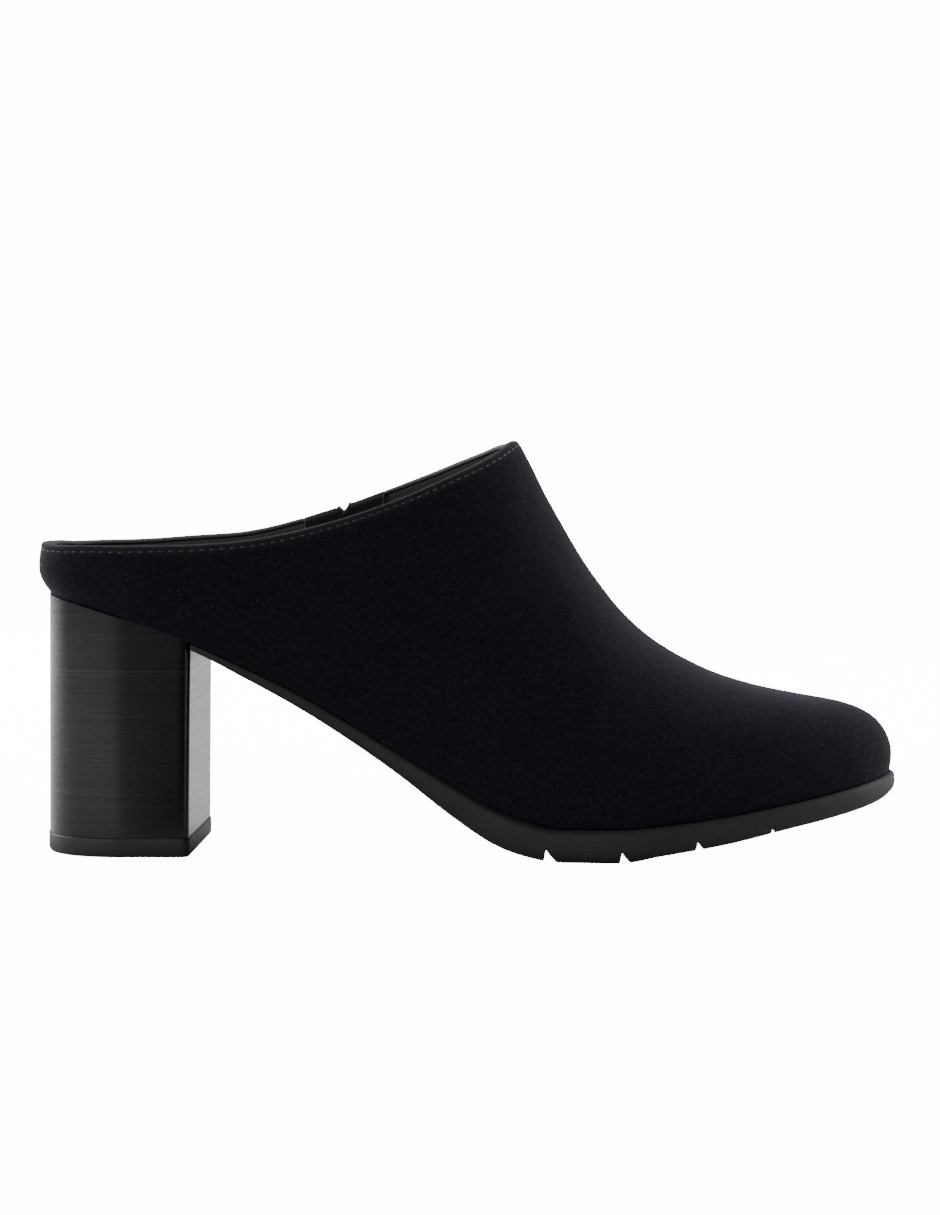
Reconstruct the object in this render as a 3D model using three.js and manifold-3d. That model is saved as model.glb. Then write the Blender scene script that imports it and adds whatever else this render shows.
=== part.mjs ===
// A right shoe: a closed-toe, open-back mule on a block heel.
// Millimetres, +Z up, +X towards the toe, +Y towards the inner (medial) side of the foot.
// The origin is on the floor, under the middle of the shoe.
import * as THREE from "three";
import { mergeVertices } from "three/addons/utils/BufferGeometryUtils.js";
import Module from "manifold-3d";

const wasm = await Module();
wasm.setup();

// Driving sizes of the whole shoe
const LENGTH = 250; // back of the upper to the tip of the sole
const MIDDLE = 0.5014; // share of LENGTH that is over the origin
const BALL_WIDTH = 80; // upper across the ball, at its widest
const SEAT_HEIGHT = 74.6; // floor to the seam under the back of the upper
const UPPER_HEIGHT = 105.5; // seam to the peak of the collar, at the throat
const TOE_SPRING = 12.5; // how much higher the seam is at the toe than at the ball

// Upper
const WALL = 2.4; // fabric, interlining and lining together
const COUNTER_WALL = 3.2; // the same with the stiff counter round the heel
const COUNTER_FADE = [0.16, 0.34]; // shares of the length over which the counter thins out
const TUCK = 4.3; // how far the upper rolls in under itself at the waist
const TUCK_HEIGHT = 8; // height over which it rolls in
const TOE_FALL = 0.16; // slope of the toe's top towards its tip

// Elastic gore on the inner side, behind a slit in the upper
const GORE_WIDTH = 24.2;
const GORE_DEPTH = 34;
const GORE_THICKNESS = 1.1;
const GORE_PLACE = 0.352; // share of the length, from the back
const GORE_DROP = 0.2; // top edge of the gore below the collar's edge
const GORE_SIDE = 2.5; // how much each side of the gore slopes in
const SLIT_WIDTH = 0.6;
const SLIT_DEPTH = 27;
const NOTCH_WIDTH = 2.2; // the V where the slit opens at the collar
const NOTCH_DEPTH = 2;

// Sole, insole, heel and top lift
const SOLE_THICKNESS = 9.7; // at the ball, tread included
const SOLE_LIP = 2; // how far the sole's edge stands out past the seam
const EDGE_ROUND = 3.4; // how far the sole's side rolls in to its tread
const GROOVE_WIDTH = 3.9;
const GROOVE_DEPTH = 3.6;
const GROOVE_PITCH = 21.2;
const FIRST_GROOVE = 0.593; // share of the length
const INSOLE_THICKNESS = 3.5;
const HEEL_LENGTH = 43; // at the floor
const HEEL_WIDTH = 51;
const HEEL_SETBACK = 2.9; // back of the upper to the back of the heel, at the floor
const BACK_RAKE = 0.5; // how far the heel's back leans forward at its top
const HEEL_BACK_DEPTH = 25; // length of the heel's curved back
const HEEL_BACK_SQUARE = 2.3; // superellipse exponent of that curve
const BREAST_CORNER = 2.2; // radius of the heel's front corners
const BREAST_RAKE = 1.3; // how far the heel's front leans forward at its top
const LIFT_HEIGHT = 5.4;
const LIFT_LIP = 0.3;
const CLEARANCE = 0.3;

// Mesh fineness
const COLLAR_COLUMNS = 28;
const VAMP_COLUMNS = 28;
const WALL_ROWS = 14;
const CROWDING = 0.7;
const ROW_SQUEEZE = 1.5;
const SOLE_COLUMNS = 36;
const HEEL_ARC_STEPS = 11;
const CORNER_STEPS = 3;

// Side view of the seam and the sole, from back to tip. along: share of LENGTH.
// rise: share of the way from the ball's seam up to the seat. spring: share of TOE_SPRING.
// thick: sole's thickness as a share of SOLE_THICKNESS.
const PROFILE = [
  { along: 0.0, rise: 1.0, spring: 0.0, thick: 0.2 },
  { along: 0.08, rise: 0.935, spring: 0.0, thick: 0.2 },
  { along: 0.188, rise: 0.8, spring: 0.0, thick: 0.22 },
  { along: 0.248, rise: 0.696, spring: 0.0, thick: 0.33 },
  { along: 0.316, rise: 0.569, spring: 0.0, thick: 0.46 },
  { along: 0.372, rise: 0.445, spring: 0.0, thick: 0.55 },
  { along: 0.428, rise: 0.317, spring: 0.0, thick: 0.7 },
  { along: 0.484, rise: 0.193, spring: 0.0, thick: 0.98 },
  { along: 0.54, rise: 0.0755, spring: 0.0, thick: 1.1 },
  { along: 0.58, rise: 0.02, spring: 0.0, thick: 1.04 },
  { along: 0.608, rise: 0.0, spring: 0.0, thick: 1.0 },
  { along: 0.676, rise: 0.0, spring: 0.0, thick: 1.0 },
  { along: 0.72, rise: 0.0, spring: 0.07, thick: 0.9 },
  { along: 0.8, rise: 0.0, spring: 0.264, thick: 0.82 },
  { along: 0.86, rise: 0.0, spring: 0.46, thick: 0.75 },
  { along: 0.92, rise: 0.0, spring: 0.67, thick: 0.73 },
  { along: 0.97, rise: 0.0, spring: 0.87, thick: 0.71 },
  { along: 1.0, rise: 0.0, spring: 1.0, thick: 0.64 },
];

// Edge of the collar in side view. lateral and medial: height above the seam, as shares of UPPER_HEIGHT.
const COLLAR = [
  { along: 0.0, lateral: 0.1305, medial: 0.1325 },
  { along: 0.056, lateral: 0.158, medial: 0.1635 },
  { along: 0.112, lateral: 0.193, medial: 0.202 },
  { along: 0.172, lateral: 0.245, medial: 0.2595 },
  { along: 0.236, lateral: 0.3165, medial: 0.3345 },
  { along: 0.296, lateral: 0.404, medial: 0.4355 },
  { along: 0.356, lateral: 0.52, medial: 0.557 },
  { along: 0.418, lateral: 0.657, medial: 0.6965 },
  { along: 0.479, lateral: 0.797, medial: 0.8355 },
  { along: 0.52, lateral: 0.893, medial: 0.928 },
  { along: 0.54, lateral: 0.943, medial: 0.971 },
  { along: 0.5616, lateral: 1.0, medial: 1.0 },
];

// Ribs of the upper, from back to tip. Each rib is a quarter of a superellipse from the spine down to its foot.
// OUTLINE is where the rib meets the upper's widest outline in plan. along and lateral, medial: shares of
// LENGTH and BALL_WIDTH. tuck: share of TUCK. lip: share of SOLE_LIP.
const OUTLINE = [
  { along: 0.0014, lateral: 0.0, medial: 0.0, tuck: 0.81, lip: 0.0 },
  { along: 0.0115, lateral: 0.156, medial: 0.156, tuck: 0.8, lip: 0.0 },
  { along: 0.044, lateral: 0.281, medial: 0.279, tuck: 0.78, lip: 0.0 },
  { along: 0.104, lateral: 0.352, medial: 0.345, tuck: 0.78, lip: 0.0 },
  { along: 0.184, lateral: 0.37, medial: 0.353, tuck: 0.8, lip: 0.1 },
  { along: 0.284, lateral: 0.3775, medial: 0.3425, tuck: 0.93, lip: 0.2 },
  { along: 0.376, lateral: 0.3925, medial: 0.345, tuck: 1.0, lip: 0.3 },
  { along: 0.444, lateral: 0.415, medial: 0.36, tuck: 0.93, lip: 0.45 },
  { along: 0.512, lateral: 0.4475, medial: 0.395, tuck: 0.74, lip: 0.65 },
  { along: 0.596, lateral: 0.486, medial: 0.455, tuck: 0.51, lip: 0.85 },
  { along: 0.68, lateral: 0.5, medial: 0.498, tuck: 0.35, lip: 1.0 },
  { along: 0.764, lateral: 0.471, medial: 0.497, tuck: 0.28, lip: 1.0 },
  { along: 0.844, lateral: 0.408, medial: 0.46, tuck: 0.26, lip: 0.95 },
  { along: 0.912, lateral: 0.316, medial: 0.388, tuck: 0.23, lip: 0.9 },
  { along: 0.96, lateral: 0.21, medial: 0.292, tuck: 0.21, lip: 0.85 },
  { along: 0.9885, lateral: 0.09, medial: 0.162, tuck: 0.19, lip: 0.8 },
  { along: 0.9985, lateral: -0.031, medial: 0.031, tuck: 0.19, lip: 0.8 },
];

// SPINE is the rib's upper end, with one row for each row of OUTLINE. peakAlong, peakHigh, peakSide: shares of
// LENGTH, of UPPER_HEIGHT above the seam, and of BALL_WIDTH. fan: how much the rib leaves the spine
// forwards or backwards as well as sideways. square: the superellipse's exponent.
// Behind the throat the spine runs on in the air, and the collar cuts the ribs below it.
const SPINE = [
  { peakAlong: 0.116, peakHigh: 0.607, peakSide: 0.0, fan: 1.0, square: 2.3 },
  { peakAlong: 0.118, peakHigh: 0.612, peakSide: 0.0, fan: 1.0, square: 2.3 },
  { peakAlong: 0.132, peakHigh: 0.64, peakSide: 0.0, fan: 0.9, square: 2.3 },
  { peakAlong: 0.188, peakHigh: 0.74, peakSide: 0.0, fan: 0.5, square: 2.25 },
  { peakAlong: 0.292, peakHigh: 0.93, peakSide: 0.006, fan: 0.15, square: 2.2 },
  { peakAlong: 0.42, peakHigh: 1.12, peakSide: 0.019, fan: 0.0, square: 2.1 },
  { peakAlong: 0.504, peakHigh: 1.15, peakSide: 0.031, fan: 0.0, square: 2.05 },
  { peakAlong: 0.5616, peakHigh: 1.0, peakSide: 0.04, fan: 0.0, square: 2.0 },
  { peakAlong: 0.597, peakHigh: 0.858, peakSide: 0.042, fan: 0.0, square: 2.0 },
  { peakAlong: 0.646, peakHigh: 0.667, peakSide: 0.042, fan: 0.0, square: 2.05 },
  { peakAlong: 0.708, peakHigh: 0.489, peakSide: 0.04, fan: 0.05, square: 2.1 },
  { peakAlong: 0.772, peakHigh: 0.379, peakSide: 0.038, fan: 0.2, square: 2.25 },
  { peakAlong: 0.832, peakHigh: 0.307, peakSide: 0.035, fan: 0.45, square: 2.45 },
  { peakAlong: 0.874, peakHigh: 0.268, peakSide: 0.033, fan: 0.75, square: 2.65 },
  { peakAlong: 0.898, peakHigh: 0.249, peakSide: 0.031, fan: 0.92, square: 2.8 },
  { peakAlong: 0.912, peakHigh: 0.238, peakSide: 0.031, fan: 1.0, square: 2.9 },
  { peakAlong: 0.916, peakHigh: 0.234, peakSide: 0.031, fan: 1.0, square: 2.9 },
];
// The row where the spine reaches the collar's peak
const THROAT = SPINE.findIndex((row) => row.peakHigh === 1);

// Sole's side from top to tread. down: share of the local thickness. inset: share of EDGE_ROUND.
const SOLE_EDGE = [
  { down: 0.0, inset: 0.2 },
  { down: 0.12, inset: 0.03 },
  { down: 0.4, inset: 0.0 },
  { down: 0.68, inset: 0.16 },
  { down: 0.87, inset: 0.5 },
  { down: 1.0, inset: 1.0 },
];

// Tread grooves: depth as a share of GROOVE_DEPTH, one row for each groove, from the back.
const GROOVES = [{ deep: 1.0 }, { deep: 0.9 }, { deep: 0.68 }, { deep: 0.36 }];
const GROOVE_HEEL_WALL = 0.3; // share of the groove's width under its steep wall

// Slope of a table's column at row i: a three-point slope, held back so that the curve never overshoots.
function slope(rows, key, column, i) {
  if (i === 0 || i === rows.length - 1) {
    const j = i === 0 ? 1 : i;
    return (rows[j][column] - rows[j - 1][column]) / (rows[j][key] - rows[j - 1][key]);
  }
  const before = rows[i][key] - rows[i - 1][key];
  const after = rows[i + 1][key] - rows[i][key];
  const into = (rows[i][column] - rows[i - 1][column]) / before;
  const out = (rows[i + 1][column] - rows[i][column]) / after;
  if (into * out <= 0) return 0;
  const mean = (into * after + out * before) / (before + after);
  const most = 3 * Math.min(Math.abs(into), Math.abs(out));
  return Math.sign(mean) * Math.min(Math.abs(mean), most);
}

// Reads a table's column at a place, on a smooth cubic through its rows.
function read(rows, key, column, at) {
  let i = 0;
  while (i < rows.length - 2 && at > rows[i + 1][key]) i += 1;
  const span = rows[i + 1][key] - rows[i][key];
  const u = THREE.MathUtils.clamp((at - rows[i][key]) / span, 0, 1);
  const [a, b] = [rows[i][column], rows[i + 1][column]];
  const [p, q] = [slope(rows, key, column, i) * span, slope(rows, key, column, i + 1) * span];
  return a + u * (p + u * (3 * (b - a) - 2 * p - q + u * (p + q - 2 * (b - a))));
}

// The last value from 0 to 1 for which a test holds, found by halving.
function lastWhere(test) {
  let [low, high] = [0, 1];
  for (let i = 0; i < 40; i += 1) {
    const middle = (low + high) / 2;
    if (test(middle)) low = middle;
    else high = middle;
  }
  return low;
}

const toX = (along) => (along - MIDDLE) * LENGTH;
const toAlong = (x) => x / LENGTH + MIDDLE;

// Height of the seam between the upper and what is under it, at x.
function seam(x) {
  const at = toAlong(x);
  const rise = (SEAT_HEIGHT - SOLE_THICKNESS) * read(PROFILE, "along", "rise", at);
  return SOLE_THICKNESS + rise + TOE_SPRING * read(PROFILE, "along", "spring", at);
}

// Height of the collar's edge at x, on one side of the foot.
function collar(x, side) {
  return seam(x) + UPPER_HEIGHT * read(COLLAR, "along", side, toAlong(x));
}

// The ribs laid out as a ring: place 0 is the back, 1 the tip, + the lateral side and - the medial side.
// A rib's place is its share of the way round the outline, and one more rib past the tip joins the ends.
function ringOfRibs() {
  const ribs = OUTLINE.map((row, i) => ({ ...row, ...SPINE[i] }));
  const chord = (a, b) => {
    const width = (a.lateral + a.medial - b.lateral - b.medial) / 2;
    return Math.hypot((a.along - b.along) * LENGTH, width * BALL_WIDTH);
  };
  const ways = [0];
  ribs.slice(1).forEach((rib, i) => ways.push(ways[i] + chord(ribs[i], rib)));
  const places = ways.map((way) => way / ways[ways.length - 1]);
  const lateral = ribs.map((rib, i) => ({ ...rib, place: places[i], side: -rib.lateral }));
  const medial = ribs.map((rib, i) => ({ ...rib, place: -places[i], side: rib.medial }));
  const last = ribs.length - 2;
  return [
    { ...lateral[last], place: places[last] - 2 },
    ...medial.slice(1).reverse(),
    ...lateral,
    { ...medial[last], place: 2 - places[last] },
  ];
}
const RING = ringOfRibs();
const THROAT_PLACE = RING[OUTLINE.length + THROAT].place;
const ring = (column, place) => read(RING, "place", column, place);

// Plan point of the upper's widest outline, moved out by a distance along the outline's normal.
function outline(place, out = 0) {
  const point = (at) => new THREE.Vector2(toX(ring("along", at)), ring("side", at) * BALL_WIDTH);
  const step = 1e-4;
  const run = point(place + step).sub(point(place - step)).normalize();
  return point(place).add(new THREE.Vector2(run.y, -run.x).multiplyScalar(out));
}

// A rib's foot on the seam, after the upper has rolled in under itself.
function foot(place) {
  const at = outline(place, -TUCK * ring("tuck", place));
  return new THREE.Vector3(at.x, at.y, seam(at.x));
}

// Point on the outside of the upper: t is 0 at the rib's foot and 1 on the spine.
function outside(place, t) {
  const wide = outline(place);
  const footHeight = foot(place).z;
  const spineX = toX(ring("peakAlong", place));
  const spine = new THREE.Vector3(
    spineX,
    ring("peakSide", place) * BALL_WIDTH,
    seam(spineX) + UPPER_HEIGHT * ring("peakHigh", place),
  );
  const forward = (wide.x - spine.x) * ring("fan", place);
  const over = new THREE.Vector3(forward, wide.y - spine.y, -TOE_FALL * Math.max(0, forward));
  const down = new THREE.Vector3(wide.x - spine.x - forward, 0, footHeight - spine.z - over.z);
  const [c, s] = [Math.cos((t * Math.PI) / 2), Math.sin((t * Math.PI) / 2)];
  const square = ring("square", place);
  const reach = Math.pow(Math.pow(c, square) + Math.pow(s, square), -1 / square);
  const point = spine.addScaledVector(over, reach * c).addScaledVector(down, 1 - reach * s);
  const left = Math.max(0, 1 - (point.z - footHeight) / TUCK_HEIGHT);
  const tucked = outline(place, -TUCK * ring("tuck", place) * left * left);
  return new THREE.Vector3(point.x + tucked.x - wide.x, point.y + tucked.y - wide.y, point.z);
}

// Point at a depth under the outside of the upper, square to its surface.
// Near the seam the way in turns level, so that the upper's bottom edge stays on the seam.
function inside(place, t, depth) {
  const step = 1e-3;
  const at = Math.min(t, 1 - step);
  const around = outside(place + step, at).sub(outside(place - step, at));
  const up = outside(place, at + step).sub(outside(place, Math.max(0, at - step)));
  const normal = around.cross(up).normalize();
  const point = outside(place, t);
  const height = point.z - foot(place).z;
  const free = THREE.MathUtils.clamp(height / TUCK_HEIGHT, 0, 1);
  normal.z *= free;
  point.addScaledVector(normal.normalize(), -depth);
  point.z += (seam(point.x) + height - point.z) * (1 - free);
  return point;
}

// The upper's wall is thicker round the heel, where the counter is.
function wallAt(place) {
  const share = THREE.MathUtils.smoothstep(ring("along", place), ...COUNTER_FADE);
  return THREE.MathUtils.lerp(COUNTER_WALL, WALL, share);
}

// Where the collar cuts a rib: its t, found by halving. In front of the throat the rib runs on to the spine.
function topOf(place, drop) {
  if (Math.abs(place) >= THROAT_PLACE) return 1;
  const side = place > 0 ? "lateral" : "medial";
  return lastWhere((t) => {
    const point = outside(place, t);
    return point.z < collar(point.x, side) - drop;
  });
}

// Even steps from 0 to 1, spread so that they crowd at both ends.
const crowd = (step) => step - (CROWDING * Math.sin(2 * Math.PI * step)) / (2 * Math.PI);

// A row's t on a rib that ends at top. Below the collar the rows stay where they are on an uncut rib.
const rowHeight = (top, step) => top * (1 - Math.pow(1 - crowd(step), Math.min(ROW_SQUEEZE, 1 / top)));

// Places of the upper's columns, once round the ring. They crowd towards the throat, where the collar turns.
function columnPlaces() {
  const half = [];
  for (let i = 0; i <= COLLAR_COLUMNS; i += 1) {
    const step = i / COLLAR_COLUMNS;
    half.push(THROAT_PLACE * step * (1 + step * (1 - step)));
  }
  for (let i = 1; i <= VAMP_COLUMNS; i += 1) {
    half.push(THROAT_PLACE + ((1 - THROAT_PLACE) * i) / VAMP_COLUMNS);
  }
  return [...half, ...half.slice(1, -1).reverse().map((place) => -place)];
}

// A closed solid from points and triangles, with its faces turned out.
function solid(points, triangles) {
  const geometry = new THREE.BufferGeometry().setFromPoints(points).setIndex(triangles.flat());
  const merged = mergeVertices(geometry, 1e-4);
  const corner = (i) => new THREE.Vector3().fromBufferAttribute(merged.attributes.position, i);
  let faces = [];
  let volume = 0;
  for (let i = 0; i < merged.index.count; i += 3) {
    const [a, b, c] = [0, 1, 2].map((k) => merged.index.getX(i + k));
    if (a === b || b === c || c === a) continue;
    faces.push([a, b, c]);
    volume += corner(a).dot(corner(b).cross(corner(c)));
  }
  if (volume < 0) faces = faces.map(([a, b, c]) => [a, c, b]);
  return new wasm.Manifold(
    new wasm.Mesh({
      numProp: 3,
      vertProperties: merged.attributes.position.array,
      triVerts: new Uint32Array(faces.flat()),
    }),
  );
}

// The upper's form between two depths under its outside: a shell, open at the collar and underneath.
function shell(outerDepth, innerDepth, drop = 0) {
  const places = columnPlaces();
  const count = places.length;
  const tops = places.map((place) => topOf(place, drop));
  const points = [];
  for (const depth of [outerDepth, innerDepth]) {
    for (let row = 0; row <= WALL_ROWS; row += 1) {
      places.forEach((place, column) => {
        // Both sides meet on the spine, so they share its points.
        const at = tops[column] === 1 && row === WALL_ROWS ? Math.abs(place) : place;
        points.push(inside(at, rowHeight(tops[column], row / WALL_ROWS), depth(at)));
      });
    }
  }
  const rows = WALL_ROWS + 1;
  const index = (layer, row, column) => (layer * rows + row) * count + (column % count);
  const triangles = [];
  const quad = (a, b, c, d) => triangles.push([a, b, c], [a, c, d]);
  for (let column = 0; column < count; column += 1) {
    const next = column + 1;
    for (let row = 0; row < WALL_ROWS; row += 1) {
      quad(index(0, row, column), index(0, row, next), index(0, row + 1, next), index(0, row + 1, column));
      quad(index(1, row, next), index(1, row, column), index(1, row + 1, column), index(1, row + 1, next));
    }
    quad(index(0, 0, next), index(0, 0, column), index(1, 0, column), index(1, 0, next));
    const middle = (Math.abs(places[column]) + Math.abs(places[next % count])) / 2;
    if (middle < THROAT_PLACE) {
      const [a, b] = [index(0, WALL_ROWS, column), index(0, WALL_ROWS, next)];
      quad(a, b, index(1, WALL_ROWS, next), index(1, WALL_ROWS, column));
    }
  }
  return solid(points, triangles);
}

// Loops of points joined into a solid: a band between each two, and a strip across each end.
// Each loop starts at its back middle, and point i lies opposite point n - i.
function loft(loops) {
  const count = loops[0].length;
  const triangles = [];
  for (let k = 0; k < loops.length - 1; k += 1) {
    for (let i = 0; i < count; i += 1) {
      const [a, b] = [k * count + i, k * count + ((i + 1) % count)];
      triangles.push([a, b, b + count], [a, b + count, a + count]);
    }
  }
  for (const [loop, turned] of [[0, true], [loops.length - 1, false]]) {
    const at = (i) => loop * count + (i % count);
    for (let i = 0; i < count / 2; i += 1) {
      const strip = [[at(i), at(i + 1), at(count - i - 1)], [at(i), at(count - i - 1), at(count - i)]];
      strip.forEach(([a, b, c]) => triangles.push(turned ? [a, c, b] : [a, b, c]));
    }
  }
  return solid(loops.flat(), triangles);
}

// A bar along Y with a section drawn in the side view, from one y to another.
function bar(section, fromY, toY) {
  const shape = new THREE.Shape(section.map(([x, z]) => new THREE.Vector2(x, z)));
  const geometry = new THREE.ExtrudeGeometry(shape, { depth: toY - fromY, bevelEnabled: false });
  geometry.rotateX(Math.PI / 2).translate(0, toY, 0);
  const points = [];
  const triangles = [];
  for (let i = 0; i < geometry.attributes.position.count; i += 1) {
    points.push(new THREE.Vector3().fromBufferAttribute(geometry.attributes.position, i));
    if (i % 3 === 2) triangles.push([i - 2, i - 1, i]);
  }
  return solid(points, triangles);
}

const GORE_X = toX(GORE_PLACE);
const FAR_OUT = BALL_WIDTH;

function makeUpper() {
  const rim = collar(GORE_X, "medial");
  const [half, wide] = [SLIT_WIDTH / 2, NOTCH_WIDTH / 2];
  const slit = bar(
    [
      [GORE_X - 2 * wide, rim + NOTCH_DEPTH],
      [GORE_X - half, rim - NOTCH_DEPTH],
      [GORE_X - half, rim - SLIT_DEPTH],
      [GORE_X + half, rim - SLIT_DEPTH],
      [GORE_X + half, rim - NOTCH_DEPTH],
      [GORE_X + 2 * wide, rim + NOTCH_DEPTH],
    ],
    0,
    FAR_OUT,
  );
  return shell(() => 0, wallAt).subtract(slit);
}

function makeGore() {
  const rim = collar(GORE_X, "medial");
  const half = GORE_WIDTH / 2;
  const panel = bar(
    [
      [GORE_X - half, rim + GORE_WIDTH],
      [GORE_X - half, rim - GORE_DEPTH / 2],
      [GORE_X - half + GORE_SIDE, rim - GORE_DEPTH],
      [GORE_X + half - GORE_SIDE, rim - GORE_DEPTH],
      [GORE_X + half, rim - GORE_DEPTH / 2],
      [GORE_X + half, rim + GORE_WIDTH],
    ],
    0,
    FAR_OUT,
  );
  const notch = bar(
    [
      [GORE_X - NOTCH_WIDTH, rim + NOTCH_DEPTH],
      [GORE_X, rim - NOTCH_DEPTH],
      [GORE_X + NOTCH_WIDTH, rim + NOTCH_DEPTH],
    ],
    0,
    FAR_OUT,
  );
  const outer = (place) => wallAt(place) + CLEARANCE;
  const inner = (place) => outer(place) + GORE_THICKNESS;
  return shell(outer, inner, GORE_DROP).intersect(panel).subtract(notch);
}

// Back of the heel and its front, the breast, at a share of the way up the heel.
const heelBack = (up) => toX(0) + HEEL_SETBACK + BACK_RAKE * up;
const breast = (up) => heelBack(0) + HEEL_LENGTH + BREAST_RAKE * up;

// Plan outline of the heel, from its back middle round the lateral side: a superellipse, then a straight side,
// then a rounded corner and the flat breast.
function heelLoop(up, out, height) {
  const front = breast(up) + out;
  const half = HEEL_WIDTH / 2 + out;
  const depth = HEEL_BACK_DEPTH + out;
  const middleX = heelBack(up) - out + depth;
  const side = [];
  for (let i = 0; i <= HEEL_ARC_STEPS; i += 1) {
    const angle = (i / HEEL_ARC_STEPS) * (Math.PI / 2);
    const x = middleX - depth * Math.pow(Math.cos(angle), 2 / HEEL_BACK_SQUARE);
    side.push([x, half * Math.pow(Math.sin(angle), 2 / HEEL_BACK_SQUARE)]);
  }
  for (let i = 0; i <= CORNER_STEPS; i += 1) {
    const angle = (i / CORNER_STEPS) * (Math.PI / 2);
    const x = front - BREAST_CORNER * (1 - Math.sin(angle));
    side.push([x, half - BREAST_CORNER * (1 - Math.cos(angle))]);
  }
  const lateral = side.slice(1).map(([x, y]) => new THREE.Vector3(x, -y, height(x)));
  const medial = side.slice(1).reverse().map(([x, y]) => new THREE.Vector3(x, y, height(x)));
  const back = new THREE.Vector3(side[0][0], 0, height(side[0][0]));
  return [back, ...lateral, new THREE.Vector3(front, 0, height(front)), ...medial];
}

function makeHeel() {
  const seat = (x) => seam(x) - CLEARANCE;
  return loft([heelLoop(0, 0, () => LIFT_HEIGHT), heelLoop(1, 0, seat)]);
}

function makeLift() {
  return loft([heelLoop(0, LIFT_LIP, () => 0), heelLoop(0, LIFT_LIP, () => LIFT_HEIGHT)]);
}

// Outsole: its edge follows the seam's outline with a lip, from the heel's breast to the tip.
function makeOutsole() {
  const rear = breast(1) + CLEARANCE;
  const start = lastWhere((place) => foot(place).x < rear);
  const places = [];
  for (let i = 0; i <= SOLE_COLUMNS; i += 1) places.push(start + ((1 - start) * i) / SOLE_COLUMNS);
  const loops = SOLE_EDGE.map(({ down, inset }) => {
    const at = (place) => {
      const thick = read(PROFILE, "along", "thick", ring("along", place));
      const lip = SOLE_LIP * ring("lip", place) - TUCK * ring("tuck", place);
      const point = outline(place, lip - EDGE_ROUND * inset * Math.min(1, thick));
      return new THREE.Vector2(Math.max(rear, point.x), point.y);
    };
    const height = (x) => {
      const thick = SOLE_THICKNESS * read(PROFILE, "along", "thick", toAlong(x));
      const top = seam(x) - CLEARANCE;
      const bottom = seam(x) - thick;
      return THREE.MathUtils.lerp(top, bottom, down);
    };
    const edge = (sign) => places.map((place) => {
      const point = at(sign * place);
      return new THREE.Vector3(point.x, point.y, height(point.x));
    });
    const lateral = edge(1);
    const medial = edge(-1).slice(0, -1).reverse();
    lateral[0].x = rear;
    medial[medial.length - 1].x = rear;
    return [new THREE.Vector3(rear, 0, height(rear)), ...lateral, ...medial];
  });
  let sole = loft(loops);
  GROOVES.forEach(({ deep }, i) => {
    const x = toX(FIRST_GROOVE) + i * GROOVE_PITCH;
    const depth = GROOVE_DEPTH * deep;
    const floor = seam(x) - SOLE_THICKNESS * read(PROFILE, "along", "thick", toAlong(x));
    const below = floor - GROOVE_DEPTH;
    const steep = GROOVE_WIDTH * GROOVE_HEEL_WALL;
    const ramp = (GROOVE_WIDTH - steep) * ((depth + GROOVE_DEPTH) / GROOVE_DEPTH);
    sole = sole.subtract(bar([[x - steep, below], [x + ramp, below], [x, floor + depth]], -FAR_OUT, FAR_OUT));
  });
  return sole;
}

// Insole: fills the upper's inner outline, from the seam up.
function makeInsole() {
  const edge = (place, height) => {
    const at = (t) => inside(place, t, wallAt(place) + CLEARANCE);
    const t = lastWhere((share) => at(share).z < seam(at(share).x) + height);
    const point = at(height === 0 ? 0 : t);
    return point.setZ(seam(point.x) + height);
  };
  return loft([0, INSOLE_THICKNESS].map((height) => columnPlaces().map((place) => edge(place, height))));
}

const BLACK_FABRIC = { color: 0x121317, roughness: 0.95, metalness: 0 };
const BLACK_ELASTIC = { color: 0x0c0d0f, roughness: 0.8, metalness: 0 };
const BLACK_LINING = { color: 0x17181a, roughness: 0.75, metalness: 0 };
const BLACK_RUBBER = { color: 0x1e1f20, roughness: 0.6, metalness: 0 };
const BLACK_STACK = { color: 0x16181a, roughness: 0.35, metalness: 0 };

// A manifold solid as a named three.js mesh.
function piece(name, made, look) {
  const { vertProperties, triVerts, numProp } = made.getMesh();
  const geometry = new THREE.BufferGeometry();
  const position = new Float32Array((vertProperties.length / numProp) * 3);
  for (let i = 0; i < position.length / 3; i += 1) {
    position.set(vertProperties.subarray(i * numProp, i * numProp + 3), i * 3);
  }
  geometry.setAttribute("position", new THREE.BufferAttribute(position, 3));
  geometry.setIndex(new THREE.BufferAttribute(triVerts, 1));
  const mesh = new THREE.Mesh(geometry.toNonIndexed(), new THREE.MeshStandardMaterial(look));
  mesh.geometry.computeVertexNormals();
  mesh.name = name;
  return mesh;
}

const shoe = new THREE.Group();
shoe.name = "shoe";
shoe.add(
  piece("upper", makeUpper(), BLACK_FABRIC),
  piece("gore", makeGore(), BLACK_ELASTIC),
  piece("insole", makeInsole(), BLACK_LINING),
  piece("outsole", makeOutsole(), BLACK_RUBBER),
  piece("heel", makeHeel(), BLACK_STACK),
  piece("top_lift", makeLift(), BLACK_RUBBER),
);

export default shoe;
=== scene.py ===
"""The looks of a heeled mule: black nubuck upper, smooth lining, rubber sole and a stacked block heel.

Shapes are worked out in millimetres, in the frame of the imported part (+X toe, +Y inner side of the
foot, +Z up), and become metres where a mesh is made.
"""

import math

import bmesh
import bpy
import numpy as np
from mathutils import Matrix, Vector


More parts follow.
